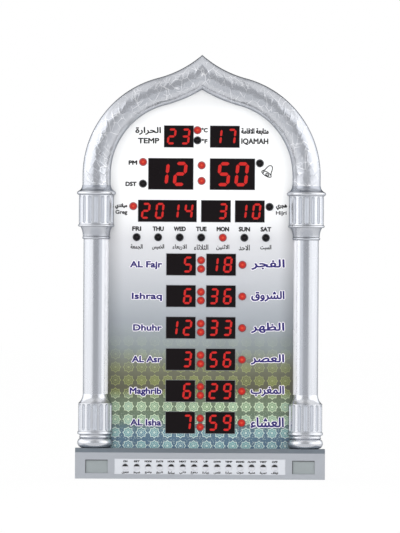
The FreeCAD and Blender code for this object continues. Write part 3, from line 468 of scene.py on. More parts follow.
def linked(name, data):
    made = bpy.data.objects.new(name, data)
    bpy.context.scene.collection.objects.link(made)
    return made


def piece_from(name, points, faces, materials, sharp=35.0, indices=None):
    mesh = bpy.data.meshes.new(name)
    mesh.from_pydata(points, [], faces)
    for item in materials:
        mesh.materials.append(item)
    if indices:
        mesh.polygons.foreach_set("material_index", indices)
    mesh.polygons.foreach_set("use_smooth", [True] * len(mesh.polygons))
    tidy = bmesh.new()
    tidy.from_mesh(mesh)
    bmesh.ops.remove_doubles(tidy, verts=tidy.verts, dist=MERGE_REACH)
    bmesh.ops.recalc_face_normals(tidy, faces=tidy.faces)
    tidy.to_mesh(mesh)
    tidy.free()
    mesh.set_sharp_from_angle(angle=math.radians(sharp))
    piece = linked(name, mesh)
    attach(piece, "root")
    return piece


def join_rows(rows, capped=False):
    """Points and faces of a tube through closed rows of points, with or without its ends."""
    width = len(rows[0])
    points = [point for row in rows for point in row]
    faces = []
    for start in range(0, len(points) - width, width):
        for step in range(width):
            after = (step + 1) % width
            faces.append((start + step, start + after, start + width + after, start + width + step))
    if capped:
        faces += [tuple(range(width)), tuple(range(len(points) - width, len(points)))]
    return points, faces


def extend(points, faces, more_points, more_faces):
    """Adds a second mesh to the lists of a first."""
    start = len(points)
    points += more_points
    faces += [tuple(start + corner for corner in face) for face in more_faces]


def full_turn(steps):
    return [2 * math.pi * step / steps for step in range(steps)]


def middle_of(node):
    low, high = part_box(node)
    return (low[0] + high[0]) / 2, (low[2] + high[2]) / 2


# Arch moulding with its leaf relief

SECTION_STEPS = 72

# Steps along the short straight foot, the arc and the counter-curve up to the crest
STAGE_STEPS = (12, 260, 170)
LEAF_PITCH = 34.0 * MM
LEAF_HEIGHT = 0.22 * MM
VEIN_HEIGHT = 0.2 * MM
VEIN_WIDTH = 1.3 * MM
VEINS = (
    # pitch in metres, slant across the tube, phase of the wander
    (12.0 * MM, 1.6, 0.4),
    (19.0 * MM, -2.4, 1.9),
)
TICK_PITCH = 3.4 * MM
TICK_HEIGHT = 0.24 * MM
SKIN_DEPTH = 0.35 * MM


def leaf_relief(along, turn):
    """Height of the low leaves, their thin veins and the ticks near the edges; turn is -1 to 1 across."""
    side = abs(turn)
    blade = max(0.0, math.cos(2 * math.pi * (along / LEAF_PITCH - 1.3 * side))) ** 3
    vein = 0.0
    for pitch, slant, phase in VEINS:
        line = along / pitch + slant * turn + 0.3 * math.sin(along / (1.7 * pitch) + phase)
        vein = max(vein, 1 - abs(line - round(line)) * pitch / VEIN_WIDTH)
    body = max(0.0, 1 - (side / 0.64) ** 6)
    tick = max(0.0, math.sin(2 * math.pi * along / TICK_PITCH)) * math.exp(-((side - 0.78) / 0.045) ** 2)
    return body * (LEAF_HEIGHT * blade + VEIN_HEIGHT * vein) + TICK_HEIGHT * tick


def arch_point(offset, stage, share):
    """Point on the right half at a distance outside the centre line, and the length along it."""
    if stage == 0:
        rise = CAPITAL_TOP + (SPRING_Z - CAPITAL_TOP) * share
        return COLUMN_X + offset, rise, rise - CAPITAL_TOP
    if stage == 1:
        angle = ARCH_SWEEP * share
        radius = ARCH_RADIUS + offset
        length = SPRING_Z - CAPITAL_TOP + ARCH_RADIUS * angle
        return ARCH_X + radius * math.cos(angle), SPRING_Z + radius * math.sin(angle), length
    radius = CREST_RADIUS - offset
    start = ARCH_SWEEP + math.pi
    end = 2 * math.pi - math.acos(-CREST_X / radius)
    angle = start + (end - start) * share
    length = SPRING_Z - CAPITAL_TOP + ARCH_RADIUS * ARCH_SWEEP + CREST_RADIUS * (start - angle)
    return CREST_X + radius * math.cos(angle), CREST_Z + radius * math.sin(angle), length


def make_arch():
    stations = [(stage, step / steps) for stage, steps in enumerate(STAGE_STEPS) for step in range(steps)]
    stations += [(2, 1.0)]
    for side, name in ((1, "arch_right_half"), (-1, "arch_left_half")):
        rows = []
        for stage, share in stations:
            length = arch_point(0.0, stage, share)[2]
            row = []
            for step in range(SECTION_STEPS + 1):
                angle = math.pi * step / SECTION_STEPS
                turn = 2 * step / SECTION_STEPS - 1
                radius = TUBE_RADIUS - SKIN_DEPTH + leaf_relief(length, turn)
                if step in (0, SECTION_STEPS):
                    radius = TUBE_RADIUS
                x, z, _ = arch_point(radius * math.cos(angle), stage, share)
                row.append((side * max(x, 0.0), FACE_Y - radius * math.sin(angle), z))
            rows.append(row)
        points, faces = join_rows(rows, capped=True)
        piece = piece_from(name, points, faces, [ARCH_SILVER], sharp=50.0)
        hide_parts("arch_moulding")


# Turned column pieces

TURN_STEPS = 160
FLUTE_RADIUS = 2.6 * MM
FLUTE_LIFT = 1.0 * MM
FLUTE_STEP = math.radians(22.0)
FLUTE_COUNT = 7
FLUTED_DEPTH = 0.3 * MM
ON_DRUM = 0.01 * MM


def arc(centre, radius, start, end, steps):
    """Points of an arc in (radius, height), angles in degrees."""
    angles = [math.radians(start + (end - start) * step / steps) for step in range(steps + 1)]
    return [(centre[0] + radius * math.cos(a), centre[1] + radius * math.sin(a)) for a in angles]


def cove(low, high, upright_at_top, steps):
    """Hollow curve between two (radius, height) points, upright at one end."""
    wide, tall = abs(high[0] - low[0]), high[1] - low[1]
    radius = (wide ** 2 + tall ** 2) / (2 * wide)
    sweep = math.degrees(math.asin(tall / radius))
    if upright_at_top:
        return arc((high[0] + radius, high[1]), radius, 180 + sweep, 180, steps)
    return arc((low[0] + radius, low[1]), radius, 180, 180 - sweep, steps)


def eased(before, corner, after, radius):
    """Points of a small curve in place of a hard corner, as paint and moulding have."""
    before, corner, after = Vector(before), Vector(corner), Vector(after)
    start = corner + (before - corner).normalized() * radius
    end = corner + (after - corner).normalized() * radius
    return [tuple(start.lerp(corner, share).lerp(corner.lerp(end, share), share))
            for share in (0.0, 0.35, 0.65, 1.0)]


def flute_depth(angle, height, drum, low, high):
    """How deep a round-ended groove cuts the drum here."""
    across = min(abs(angle - (index - (FLUTE_COUNT - 1) / 2) * FLUTE_STEP) for index in range(FLUTE_COUNT))
    beyond = max(low - height, height - high, 0.0)
    away = math.hypot(across * drum, beyond)
    if away >= FLUTE_RADIUS:
        return 0.0
    return max(0.0, math.sqrt(FLUTE_RADIUS ** 2 - away ** 2) - FLUTE_LIFT)


def make_turning(name, node, side, profile, drum=None, paint=SILVER):
    """Half-round turned piece; drum is (radius, low height, high height) of its fluted part."""
    rows = []
    fluted = []
    centre = side * COLUMN_X
    for radius, height in profile:
        row = []
        on_drum = drum is not None and abs(radius - drum[0]) < ON_DRUM
        for step in range(TURN_STEPS + 1):
            angle = math.pi * (step / TURN_STEPS - 0.5)
            depth = flute_depth(angle, height, *drum) if on_drum else 0.0
            fluted.append(depth > FLUTED_DEPTH)
            here = radius - depth
            row.append((centre + here * math.sin(angle), FACE_Y - here * math.cos(angle), height))
        rows.append(row)
    points, faces = join_rows(rows, capped=True)
    # faces in a flute take the darker silver of painted shade
    indices = [int(any(fluted[corner] for corner in face)) for face in faces[:-2]] + [0, 0]
    piece = piece_from(name, points, faces, [paint, FLUTE_SHADE_SILVER], 32.0, indices)
    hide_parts(node)


def straight(radius, low, high, step):
    count = max(1, round((high - low) / step))
    return [(radius, low + (high - low) * index / count) for index in range(count + 1)]


def raised(profile, datum):
    """Profile in metres from one in millimetres above a datum."""
    return [(radius * MM, datum + height * MM) for radius, height in profile]


# Turned profiles, in millimetres above the bar for the base and above the shaft for the capital
EASING = 0.35
ROW_STEP = 0.45
FLUTE_MARGIN = 3.5
BASE_DRUM = 22.0
TORUS_TOP = 13.5
SCOTIA_TOP = 17.8
RING_TOP = 21.5
BASE_DRUM_TOP = 58.1
CAPITAL_DRUM = 22.6
ASTRAGAL_TOP = 4.2
ECHINUS_TOP = 16.2
LOWER_LIP_TOP = 19.8
CAPITAL_DRUM_TOP = 57.5
LIP_TOP = 62.7


def make_columns():
    base = arc((16.35, TORUS_TOP / 2), TORUS_TOP / 2, -90, 62, 30)
    base += arc((22.4, TORUS_TOP + 1.9), 2.3, 235, 100, 16)
    base += [(22.3, SCOTIA_TOP - 0.1)]
    lip = ((23.0, SCOTIA_TOP + 0.5), (23.0, RING_TOP - 0.5), (22.0, RING_TOP))
    base += [(22.6, SCOTIA_TOP), lip[0], *eased(*lip, EASING), lip[-1]]
    base += straight(BASE_DRUM, RING_TOP + 0.3, BASE_DRUM_TOP - 0.2, ROW_STEP)
    base += cove((BASE_DRUM, BASE_DRUM_TOP), (SHAFT_RADIUS / MM, (BASE_TOP - BAR_TOP) / MM), True, 20)

    capital = arc((16.0, ASTRAGAL_TOP / 2), ASTRAGAL_TOP / 2, -90, 90, 16)
    capital += [(17.5, ASTRAGAL_TOP)]
    capital += cove((17.5, ASTRAGAL_TOP), (20.5, ECHINUS_TOP), False, 16)[1:]
    capital += arc((22.2, ECHINUS_TOP + 1.8), 1.6, -90, 90, 14)
    capital += [(22.7, LOWER_LIP_TOP)]
    capital += straight(CAPITAL_DRUM, LOWER_LIP_TOP + 0.3, CAPITAL_DRUM_TOP - 0.3, ROW_STEP)
    capital += [(23.2, CAPITAL_DRUM_TOP)]
    capital += arc((22.9, CAPITAL_DRUM_TOP + 2.6), 2.4, -85, 70, 18)
    capital += [(23.4, LIP_TOP)]
    capital += cove((23.2, LIP_TOP + 0.2), (18.6, (CAPITAL_TOP - SHAFT_TOP) / MM), True, 14)

    def fluted(radius, low, high, datum):
        return radius * MM, datum + (low + FLUTE_MARGIN) * MM, datum + (high - FLUTE_MARGIN) * MM

    base_flutes = fluted(BASE_DRUM, RING_TOP, BASE_DRUM_TOP, BAR_TOP)
    capital_flutes = fluted(CAPITAL_DRUM, LOWER_LIP_TOP, CAPITAL_DRUM_TOP, SHAFT_TOP)
    shaft = straight(SHAFT_RADIUS, BASE_TOP, SHAFT_TOP, 12 * MM)
    for side, word in ((-1, "left"), (1, "right")):
        make_turning(f"{word}_base_turning", f"{word}_column_base", side, raised(base, BAR_TOP), base_flutes)
        make_turning(f"{word}_shaft_turning", f"{word}_shaft", side, shaft, paint=SHAFT_SILVER)
        make_turning(f"{word}_capital_turning", f"{word}_capital", side, raised(capital, SHAFT_TOP),
                     capital_flutes, CAPITAL_SILVER)


# Seven-segment digits

SEGMENTS = {
    "0": "abcdef", "1": "bc", "2": "abged", "3": "abgcd", "4": "fgbc", "5": "afgcd", "6": "afgedc",
    "7": "abc", "8": "abcdefg", "9": "abcdfg", " ": "",
}
LEAN = math.tan(math.radians(6.0))
SEGMENT_GAP = 0.12
GLOW_DEPTH = 0.15 * MM
GLOW_SINK = 0.05 * MM
SMALL_WIDTH = 37.7 * MM

# Width, height and stroke of a figure, distance between the two of a module and their shift
SMALL_FIGURES = (11.1 * MM, 20.8 * MM, 2.75 * MM), 18.0 * MM, -0.2 * MM
CLOCK_FIGURES = (16.8 * MM, 31.4 * MM, 4.3 * MM), 23.2 * MM, 0.6 * MM
PRAYER_TIMES = {
    "fajr": " 518", "sunrise": " 636", "dhuhr": "1233", "asr": " 356", "maghrib": " 629", "isha": " 759",
}
SHOWN = {
    "temperature_display": "23", "countdown_display": "17", "hour_display": "12", "minute_display": "50",
    "year_display": "2014", "month_display": " 3", "day_display": "10",
}
SHOWN.update({f"{prayer}_display": time for prayer, time in PRAYER_TIMES.items()})


def segment_corners(name, width, height, stroke):
    """Six corners of a segment about the digit's centre, upright, with pointed ends."""
    half_w, half_h, s = width / 2 - stroke / 2, height / 2 - stroke / 2, stroke / 2
    gap = SEGMENT_GAP * stroke
    level = {"a": half_h, "g": 0.0, "d": -half_h}
    lies = name in level
    if lies:
        mid, low, high = level[name], gap - half_w, half_w - gap
    else:
        mid = half_w if name in "bc" else -half_w
        low, high = (gap, half_h - gap) if name in "bf" else (gap - half_h, -gap)
    corners = [(low, mid), (low + s, mid + s), (high - s, mid + s), (high, mid), (high - s, mid - s),
               (low + s, mid - s)]
    return corners if lies else [(across, along) for along, across in corners]


def modules_of(node):
    """Left and right edge of each two-digit module of a display."""
    low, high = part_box(node)
    if len(SHOWN[node]) == 2:
        return [(low[0], high[0])]
    return [(low[0], low[0] + SMALL_WIDTH), (high[0] - SMALL_WIDTH, high[0])]


def make_digits(node, digit, pitch, shift):
    """Lit segments of a display: digit is (width, height, stroke)."""
    modules = modules_of(node)
    centre_z = middle_of(node)[1]
    points, faces = [], []
    for index, figure in enumerate(SHOWN[node]):
        module, place = divmod(index, 2)
        x = sum(modules[module]) / 2 + (place - 0.5) * pitch + shift
        for segment in SEGMENTS[figure]:
            corners = segment_corners(segment, *digit)
            extend(points, faces, *join_rows([
                [(x + u + v * LEAN, y, centre_z + v) for u, v in corners]
                for y in (MODULE_Y - GLOW_DEPTH, MODULE_Y + GLOW_SINK)], capped=True))
    piece = piece_from(node.replace("display", "digits"), points, faces, [SEGMENT_RED])
    piece.visible_glossy = False


EDGE_GAP = 0.12 * MM
EDGE_WIDTH = 0.45 * MM
EDGE_PROUD = 0.3 * MM


def frame_edges(boxes):
    """Flat grey frame round each window, standing a little in front of the panel."""
    points, faces = [], []
    for low_x, high_x, low_z, high_z in boxes:
        loops = [[(low_x - out, y, low_z - out), (high_x + out, y, low_z - out),
                  (high_x + out, y, high_z + out), (low_x - out, y, high_z + out)]
                 for out, y in ((EDGE_WIDTH, FACE_Y), (EDGE_WIDTH, FACE_Y - EDGE_PROUD),
                                (0.0, FACE_Y - EDGE_PROUD), (0.0, FACE_Y))]
        extend(points, faces, *join_rows(loops + loops[:1]))
    piece_from("window_edges", points, faces, [BEZEL_GREY])


def make_displays():
    windows = []
    for node in SHOWN:
        make_digits(node, *(CLOCK_FIGURES if node in ("hour_display", "minute_display") else SMALL_FIGURES))
        low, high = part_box(node)
        spans = [(low[0], high[0])] if node == "year_display" else modules_of(node)
        windows += [(left - EDGE_GAP, right + EDGE_GAP, low[2] - EDGE_GAP, high[2] + EDGE_GAP)
                    for left, right in spans]
    frame_edges(windows)


# Lamps

LAMP_RADIUS = 4.8 * MM
LAMP_STEPS = 40
LAMP_ROWS = (
    # radius, distance in front of the panel, both in millimetres
    (4.8, -2.0), (5.2, 0.0), (5.2, 0.4), (4.9, 0.8), (4.55, 1.0), (4.3, 1.8), (3.8, 2.8), (3.1, 3.6),
    (2.3, 4.25), (1.5, 4.65), (1.0, 4.8), (0.5, 4.88), (0.02, 4.9),
)

# First rows of the lens edge, of the lens and of the bright spot
RIM_ROWS, EDGE_ROWS, HOT_ROWS = 4, 6, 9
PAIR_PITCH = 11.2 * MM
DAY_COUNT = 7
PRAYER_COUNT = 6


def make_lamps(name, places, materials, *nodes):
    """Domed lamps at (x, z) places: rim, lens edge, lens and the spot over the die."""
    points, faces, indices = [], [], []
    for x, z in places:
        rows = [[(x + radius * MM * math.cos(a), FACE_Y - proud * MM, z + radius * MM * math.sin(a))
                 for a in full_turn(LAMP_STEPS)] for radius, proud in LAMP_ROWS]
        extend(points, faces, *join_rows(rows))
        for row in range(len(LAMP_ROWS) - 1):
            kind = sum(row >= limit for limit in (RIM_ROWS, EDGE_ROWS, HOT_ROWS))
            indices += [kind] * LAMP_STEPS
    piece = piece_from(name, points, faces, materials, indices=indices)
    piece.visible_glossy = False
    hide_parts(*nodes)


def lamp_places():
    """Centres of the lamps, worked out from the nodes' boxes."""
    def ends(node):
        low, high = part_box(node)
        r = LAMP_RADIUS
        return low[0] + r, high[0] - r, low[2] + r, high[2] - r

    left, right, low, high = ends("weekday_leds")
    days = [(left + (right - left) * index / (DAY_COUNT - 1), low) for index in range(DAY_COUNT)]
    _, _, low, high = ends("clock_colon_leds")
    colon = [(0.0, low), (0.0, high)]
    _, _, low, high = ends("prayer_colon_leds")
    fall = (high - low - PAIR_PITCH) / (PRAYER_COUNT - 1)
    rows = [high - PAIR_PITCH / 2 - fall * index for index in range(PRAYER_COUNT)]
    pairs = [(0.0, row + offset) for row in rows for offset in (PAIR_PITCH / 2, -PAIR_PITCH / 2)]
    marker_x = ends("prayer_marker_leds")[0]
    return days, colon, pairs, [(marker_x, row) for row in rows], rows, ends("mode_leds")


DAYS, COLON, PRAYER_PAIRS, MARKERS, PRAYER_ROWS, MODE_ENDS = lamp_places()

# Lamps that stand alone
UNIT_X = -5.6 * MM
UNIT_LOW = MODE_ENDS[3] - 13.2 * MM
MODE_X = -76.2 * MM
ALARM_X = 75.7 * MM
ALARM_Z = SPRING_Z + 16.2 * MM
MODE_Z = SPRING_Z + 17.1 * MM
SUMMER_Z = MODE_Z - 28.2 * MM
LIT_DAY = 4


def make_all_lamps():
    lit = (LAMP_RIM, LAMP_EDGE, LAMP_RED, LAMP_HOT)
    dark = (DARK_RIM, DARK_LENS, DARK_LENS, DARK_DIE)
    make_lamps("weekday_lamp_lit", [DAYS[LIT_DAY]], lit, "weekday_leds")
    make_lamps("weekday_lamps_dark", DAYS[:LIT_DAY] + DAYS[LIT_DAY + 1:], dark, "weekday_leds")
    make_lamps("clock_colon_lamps", COLON, lit, "clock_colon_leds")
    make_lamps("prayer_colon_lamps", PRAYER_PAIRS, lit, "prayer_colon_leds")
    make_lamps("prayer_marker_lamps", MARKERS, lit, "prayer_marker_leds")
    left, right, low, high = MODE_ENDS
    make_lamps("mode_lamps_lit", [(UNIT_X, high), (MODE_X, MODE_Z), (left, low)], lit, "mode_leds")
    make_lamps("mode_lamps_dark",
               [(UNIT_X, UNIT_LOW), (MODE_X, SUMMER_Z), (ALARM_X, ALARM_Z), (right, low)], dark, "mode_leds")


# Lettering

FIRST_FORM, LAST_FORM = 0xFE80, 0xFEFC


def letter_forms():
    """Joined shapes of the Arabic letters, by letter or pair of letters and by place in the word."""
    forms = {}
    for code in range(FIRST_FORM, LAST_FORM + 1):
        parts = unicodedata.decomposition(chr(code)).split()
        if parts:
            letters = "".join(chr(int(part, 16)) for part in parts[1:])
            forms[letters, parts[0].strip("<>")] = chr(code)
    return forms


FORMS = letter_forms()


def arabic(word):
    """Word in its joined shapes, turned round so that it reads from the right."""
    units = []
    index = 0
    while index < len(word):
        pair = word[index:index + 2]
        unit = pair if (pair, "isolated") in FORMS else word[index]
        units.append(unit)
        index += len(unit)
    shaped = []
    joined = False
    for index, unit in enumerate(units):
        following = units[index + 1] if index + 1 < len(units) else ""
        joins_on = (unit, "initial") in FORMS and (following, "final") in FORMS
        after_joint, after_gap = ("medial", "initial") if joins_on else ("final", "isolated")
        form = after_joint if joined else after_gap
        shaped.append(FORMS.get((unit, form), unit))
        joined = joins_on
    return "".join(reversed(shaped))


INK_DEPTH = 0.03 * MM
SHAPES = {}


def outlines_of(text):
    """Closed outlines of a text one unit high, as lists of flat points."""
    curve = bpy.data.curves.new("lettering", "FONT")
    curve.body = text
    curve.fill_mode = "NONE"
    curve.resolution_u = 3
    holder = linked("lettering", curve)
    mesh = bpy.data.meshes.new_from_object(holder)
    edges = {tuple(sorted(edge.vertices)) for edge in mesh.edges}
    outlines, outline = [], []
    for index, vertex in enumerate(mesh.vertices):
        outline.append(vertex.co.to_2d())
        if (index, index + 1) not in edges:
            outlines.append(outline)
            outline = []
    bpy.data.objects.remove(holder)
    bpy.data.curves.remove(curve)
    bpy.data.meshes.remove(mesh)
    return outlines


def turns_round(outline, point):
    """Times that an outline runs round a point."""
    count = 0
    for first, second in zip(outline, outline[1:] + outline[:1]):
        if (first.y <= point.y) != (second.y <= point.y):
            share = (point.y - first.y) / (second.y - first.y)
            if first.x + share * (second.x - first.x) > point.x:
                count += 1 if second.y > first.y else -1
    return count


def reach_of(points, axis):
    values = [point[axis] for point in points]
    return min(values), max(values)


def filled(outlines):
    """Corners of a net over the outlines and its triangles that lie inside, also where a stroke crosses."""
    flat, edges = [], []
    for outline in outlines:
        start, count = len(flat), len(outline)
        edges += [(start + index, start + (index + 1) % count) for index in range(count)]
        flat += outline
    corners, _, triangles, _, _, _ = delaunay_2d_cdt(flat, edges, [], 0, MERGE_REACH)
    boxed = [(outline, *reach_of(outline, 0), *reach_of(outline, 1)) for outline in outlines]
    kept = []
    for triangle in triangles:
        middle = sum((corners[corner] for corner in triangle), Vector((0.0, 0.0))) / len(triangle)
        if sum(turns_round(outline, middle) for outline, left, right, low, high in boxed
               if left < middle.x < right and low < middle.y < high):
            kept.append(tuple(triangle))
    return corners, kept


def text_shape(text):
    """Points and faces of a solid text one unit high; the third number of a point is -1 or 1."""
    if text not in SHAPES:
        corners, fronts = filled(outlines_of(text))
        count = len(corners)
        sides = {(face[i], face[(i + 1) % 3]) for face in fronts for i in range(3)}
        points = [(corner.x, corner.y, side) for side in (1, -1) for corner in corners]
        faces = fronts + [tuple(count + corner for corner in reversed(face)) for face in fronts]
        faces += [(a, a + count, b + count, b) for a, b in sorted(sides) if (b, a) not in sides]
        used = sorted({corner for face in faces for corner in face})
        place = {corner: index for index, corner in enumerate(used)}
        SHAPES[text] = ([points[corner] for corner in used],
                        [tuple(place[corner] for corner in face) for face in faces])
    return SHAPES[text]


CAP_UNIT = reach_of(text_shape("H")[0], 1)[1]
WEIGHT_STEPS = 6
INK_STEP = 0.008 * MM


def letters(name, text, place, ink=BLACK_INK, cap=0.0, width=0.0, height=0.0, weight=0.0, align=0.5,
            face=FACE_Y, layer=1):
    """Printed text at (x, z), sized in millimetres by its capitals or whole height, thickened by weight."""
    points, faces = text_shape(text)
    low_u, high_u = reach_of(points, 0)
    low_v, high_v = reach_of(points, 1)
    tall = cap * MM / CAP_UNIT if cap else height * MM / (high_v - low_v)
    wide = width * MM / (high_u - low_u)
    middle_u = low_u + (high_u - low_u) * align
    middle_v = CAP_UNIT / 2 if cap else (low_v + high_v) / 2
    all_points, all_faces = [], []
    for order, turn in enumerate(full_turn(WEIGHT_STEPS)):
        x = place[0] + weight * MM * math.cos(turn)
        z = place[1] + weight * MM * math.sin(turn)
        level = face - INK_DEPTH * layer - INK_STEP * order
        extend(all_points, all_faces, [
            (x + (u - middle_u) * wide, level - side * INK_DEPTH / 2, z + (v - middle_v) * tall)
            for u, v, side in points], faces)
    mesh = bpy.data.meshes.new(name)
    mesh.from_pydata(all_points, [], all_faces)
    mesh.materials.append(ink)
    piece = linked(name, mesh)
    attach(piece, "root")


HALO = 0.85


def haloed(name, text, place, weight, **sizes):
    """Purple letters over a white outline."""
    letters(f"{name}_halo", text, place, WHITE_INK, weight=weight + HALO, **sizes)
    letters(name, text, place, PURPLE_INK, weight=weight, layer=4, **sizes)


# Word, width in millimetres and native word
PRAYER_WORDS = (
    ("AL Fajr", 41.0, "الفجر"), ("Ishraq", 38.5, "الشروق"), ("Dhuhr", 36.5, "الظهر"),
    ("AL Asr", 38.0, "العصر"), ("Maghrib", 40.5, "المغرب"), ("AL Isha", 39.5, "العشاء"),
)
DAY_WORDS = (
    ("FRI", 11.0, "الجمعة"), ("THU", 13.8, "الخميس"), ("WED", 15.0, "الاربعاء"),
    ("TUE", 13.2, "الثلاثاء"), ("MON", 15.4, "الاثنين"), ("SUN", 14.0, "الاحد"), ("SAT", 13.2, "السبت"),
)
KEY_WORDS = (
    ("ON", "تشغيل"), ("SET", "ضبط"), ("MODE", "وضع"), ("DATE", "تاريخ"), ("HOUR", "ساعة"),
    ("NEXT", "تالي"), ("BACK", "رجوع"), ("UP", "زيادة"), ("DOWN", "نقص"), ("TEMP", "حرارة"),
    ("SOUND", "صوت"), ("ALARM", "منبه"), ("TEST", "تجربة"), ("OFF", "ايقاف"),
)
KEY_WORD_RISE = 7.2 * MM

# Weights of the words in millimetres
PLAIN, BOLD = 0.43, 0.5


def make_lettering():
    top_z = middle_of("temperature_display")[1] / MM
    left, right, era_z, unit_z = (end / MM for end in MODE_ENDS)
    for name, text, x, z, cap, width, weight in (
        # x, z, height of the capitals, width and weight, in millimetres
        ("temperature_word", "TEMP", -69.1, top_z - 5.7, 6.6, 27.0, PLAIN),
        ("iqamah_word", "IQAMAH", 68.9, top_z - 5.7, 6.6, 34.5, PLAIN),
        ("celsius_word", "°C", 3.6, unit_z, 5.0, 7.4, PLAIN),
        ("fahrenheit_word", "°F", 3.6, UNIT_LOW / MM - 1.2, 5.0, 7.0, PLAIN),
        ("afternoon_word", "PM", -89.4, MODE_Z / MM - 0.9, 5.0, 10.4, BOLD),
        ("summer_time_word", "DST", -91.7, SUMMER_Z / MM - 0.4, 5.0, 13.6, BOLD),
        ("solar_year_word", "Greg", left - 15.4, era_z - 7.7, 4.6, 15.0, 0.3),
        ("lunar_year_word", "Hijri", right + 15.2, era_z - 7.7, 4.6, 13.4, 0.24),
    ):
        letters(name, text, (x * MM, z * MM), cap=cap, width=width, weight=weight)
    for name, text, x, z, width, height in (
        ("temperature_arabic", "الحرارة", -69.8, top_z + 7.0, 32.5, 9.6),
        ("iqamah_arabic", "متابعة الاقامة", 69.0, top_z + 6.8, 35.0, 8.6),
        ("solar_year_arabic", "ميلادي", left - 15.8, era_z - 0.2, 15.0, 6.8),
        ("lunar_year_arabic", "هجري", right + 15.6, era_z - 0.2, 13.6, 6.8),
    ):
        letters(name, arabic(text), (x * MM, z * MM), width=width, height=height, weight=0.46)
    for (x, z), (word, width, native) in zip(DAYS, DAY_WORDS):
        label = f"day_{word.lower()}"
        letters(label, word, (x, z + 11.1 * MM), cap=5.2, width=width, weight=0.46)
        letters(f"{label}_arabic", arabic(native), (x, z - 12.7 * MM),
                width=7.0 + 1.4 * len(native), height=7.0, weight=0.22)
    for z, (word, width, native) in zip(PRAYER_ROWS, PRAYER_WORDS):
        label = f"prayer_{word.lower().replace(' ', '_')}"
        haloed(label, word, (-51.0 * MM, z), cap=7.6, width=width, weight=0.55, align=1.0)
        haloed(f"{label}_arabic", arabic(native), (87.0 * MM, z + 0.5 * MM), width=42.5, height=13.0,
               weight=0.6)
    for index, (word, native) in enumerate(KEY_WORDS, start=1):
        x, z = middle_of(f"key_{index:02d}")
        letters(f"key_word_{index:02d}", word, (x, z + KEY_WORD_RISE), cap=2.0,
                width=1.8 + 1.75 * len(word), weight=0.26, face=STRIP_Y)
        letters(f"key_arabic_{index:02d}", arabic(native), (x, z - KEY_WORD_RISE), width=8.6,
                height=3.3, weight=0.2, face=STRIP_Y)


# Painted shadow: dark strips above and left of each grey plate in the bar

SHADOW_STRIP_WIDTH = 0.8 * MM
SHADOW_STRIP_SINK = 0.1 * MM
PLATE_WIDTH = 29.0 * MM


def make_plate_shadows():
    low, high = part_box("inset_plates")
    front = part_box("base_bar")[0][1] + SHADOW_STRIP_SINK
    points, faces = [], []
    for left in (low[0], high[0] - PLATE_WIDTH):
        for right, bottom, top in ((left + PLATE_WIDTH, high[2] - SHADOW_STRIP_WIDTH, high[2]),
                                   (left + SHADOW_STRIP_WIDTH, low[2], high[2] - SHADOW_STRIP_WIDTH)):
            loops = [[(left, y, bottom), (right, y, bottom), (right, y, top), (left, y, top)]
                     for y in (front, low[1])]
            extend(points, faces, *join_rows(loops, capped=True))
    piece_from("plate_shadow_strips", points, faces, [SHADOW_GREY])


# Bell sign beside the alarm lamp

BELL_STROKE = 0.6 * MM
BELL_X = 86.9 * MM
BELL_Z = SPRING_Z + 6.6 * MM
BELL_TILT = math.radians(-31)


def stroke(name, outline, closed):
    """Round-section line drawn on the panel through points in (x, z)."""
    curve = bpy.data.curves.new(name, "CURVE")
    curve.dimensions = "3D"
    curve.bevel_depth = BELL_STROKE
    curve.bevel_resolution = 2
    spline = curve.splines.new("NURBS")
    spline.points.add(len(outline) - 1)
    for point, (x, z) in zip(spline.points, outline):
        point.co = (x, FACE_Y, z, 1.0)
    spline.use_cyclic_u = closed
    spline.order_u = 3
    spline.use_endpoint_u = not closed
    curve.materials.append(BLACK_INK)
    piece = linked(name, curve)
    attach(piece, "root")


def make_bell():
    """Leaning bell: its outline over the crown, its mouth, its clapper and one short line of shade."""
    def at(x, z):
        x, z = x * MM, z * MM
        return (BELL_X + x * math.cos(BELL_TILT) - z * math.sin(BELL_TILT),
                BELL_Z + x * math.sin(BELL_TILT) + z * math.cos(BELL_TILT))

    def ring(x, z, wide, tall):
        return [at(x + wide * math.cos(a), z + tall * math.sin(a)) for a in full_turn(12)]

    side = ((7.2, -5.0), (4.6, -2.0), (3.9, 3.0), (2.4, 6.6))
    outline = [at(-x, z) for x, z in side] + [at(0.0, 7.6)] + [at(x, z) for x, z in side[::-1]]
    stroke("bell_outline", outline, False)
    stroke("bell_mouth", ring(0.0, -5.0, 7.2, 2.7), True)
    stroke("bell_clapper", ring(1.4, -5.3, 2.3, 1.3), True)
    stroke("bell_shade", [at(-4.2, -3.4), at(-5.2, -5.0), at(-4.0, -6.4)], False)


# Stage: camera, floor, world and soft light

PIXEL = 1.3 * MM
IMAGE_WIDTH = 400
CAMERA_DISTANCE = 8.0
CAMERA_Z = 275.7 * MM
CAMERA_X = -1.4 * MM
CAMERA_ROLL = math.radians(-0.33)
SENSOR = 36.0
FLOOR_REACH = 12.0


def make_camera():
    data = bpy.data.cameras.new("camera")
    data.sensor_fit = "HORIZONTAL"
    data.sensor_width = SENSOR
    reach = CAMERA_DISTANCE + FACE_Y
    data.lens = SENSOR * reach / (IMAGE_WIDTH * PIXEL)
    data.clip_end = 50.0
    camera = linked("camera", data)
    camera.location = (CAMERA_X, -CAMERA_DISTANCE, CAMERA_Z)
    camera.rotation_euler = (math.pi / 2, CAMERA_ROLL, 0.0)
    bpy.context.scene.camera = camera


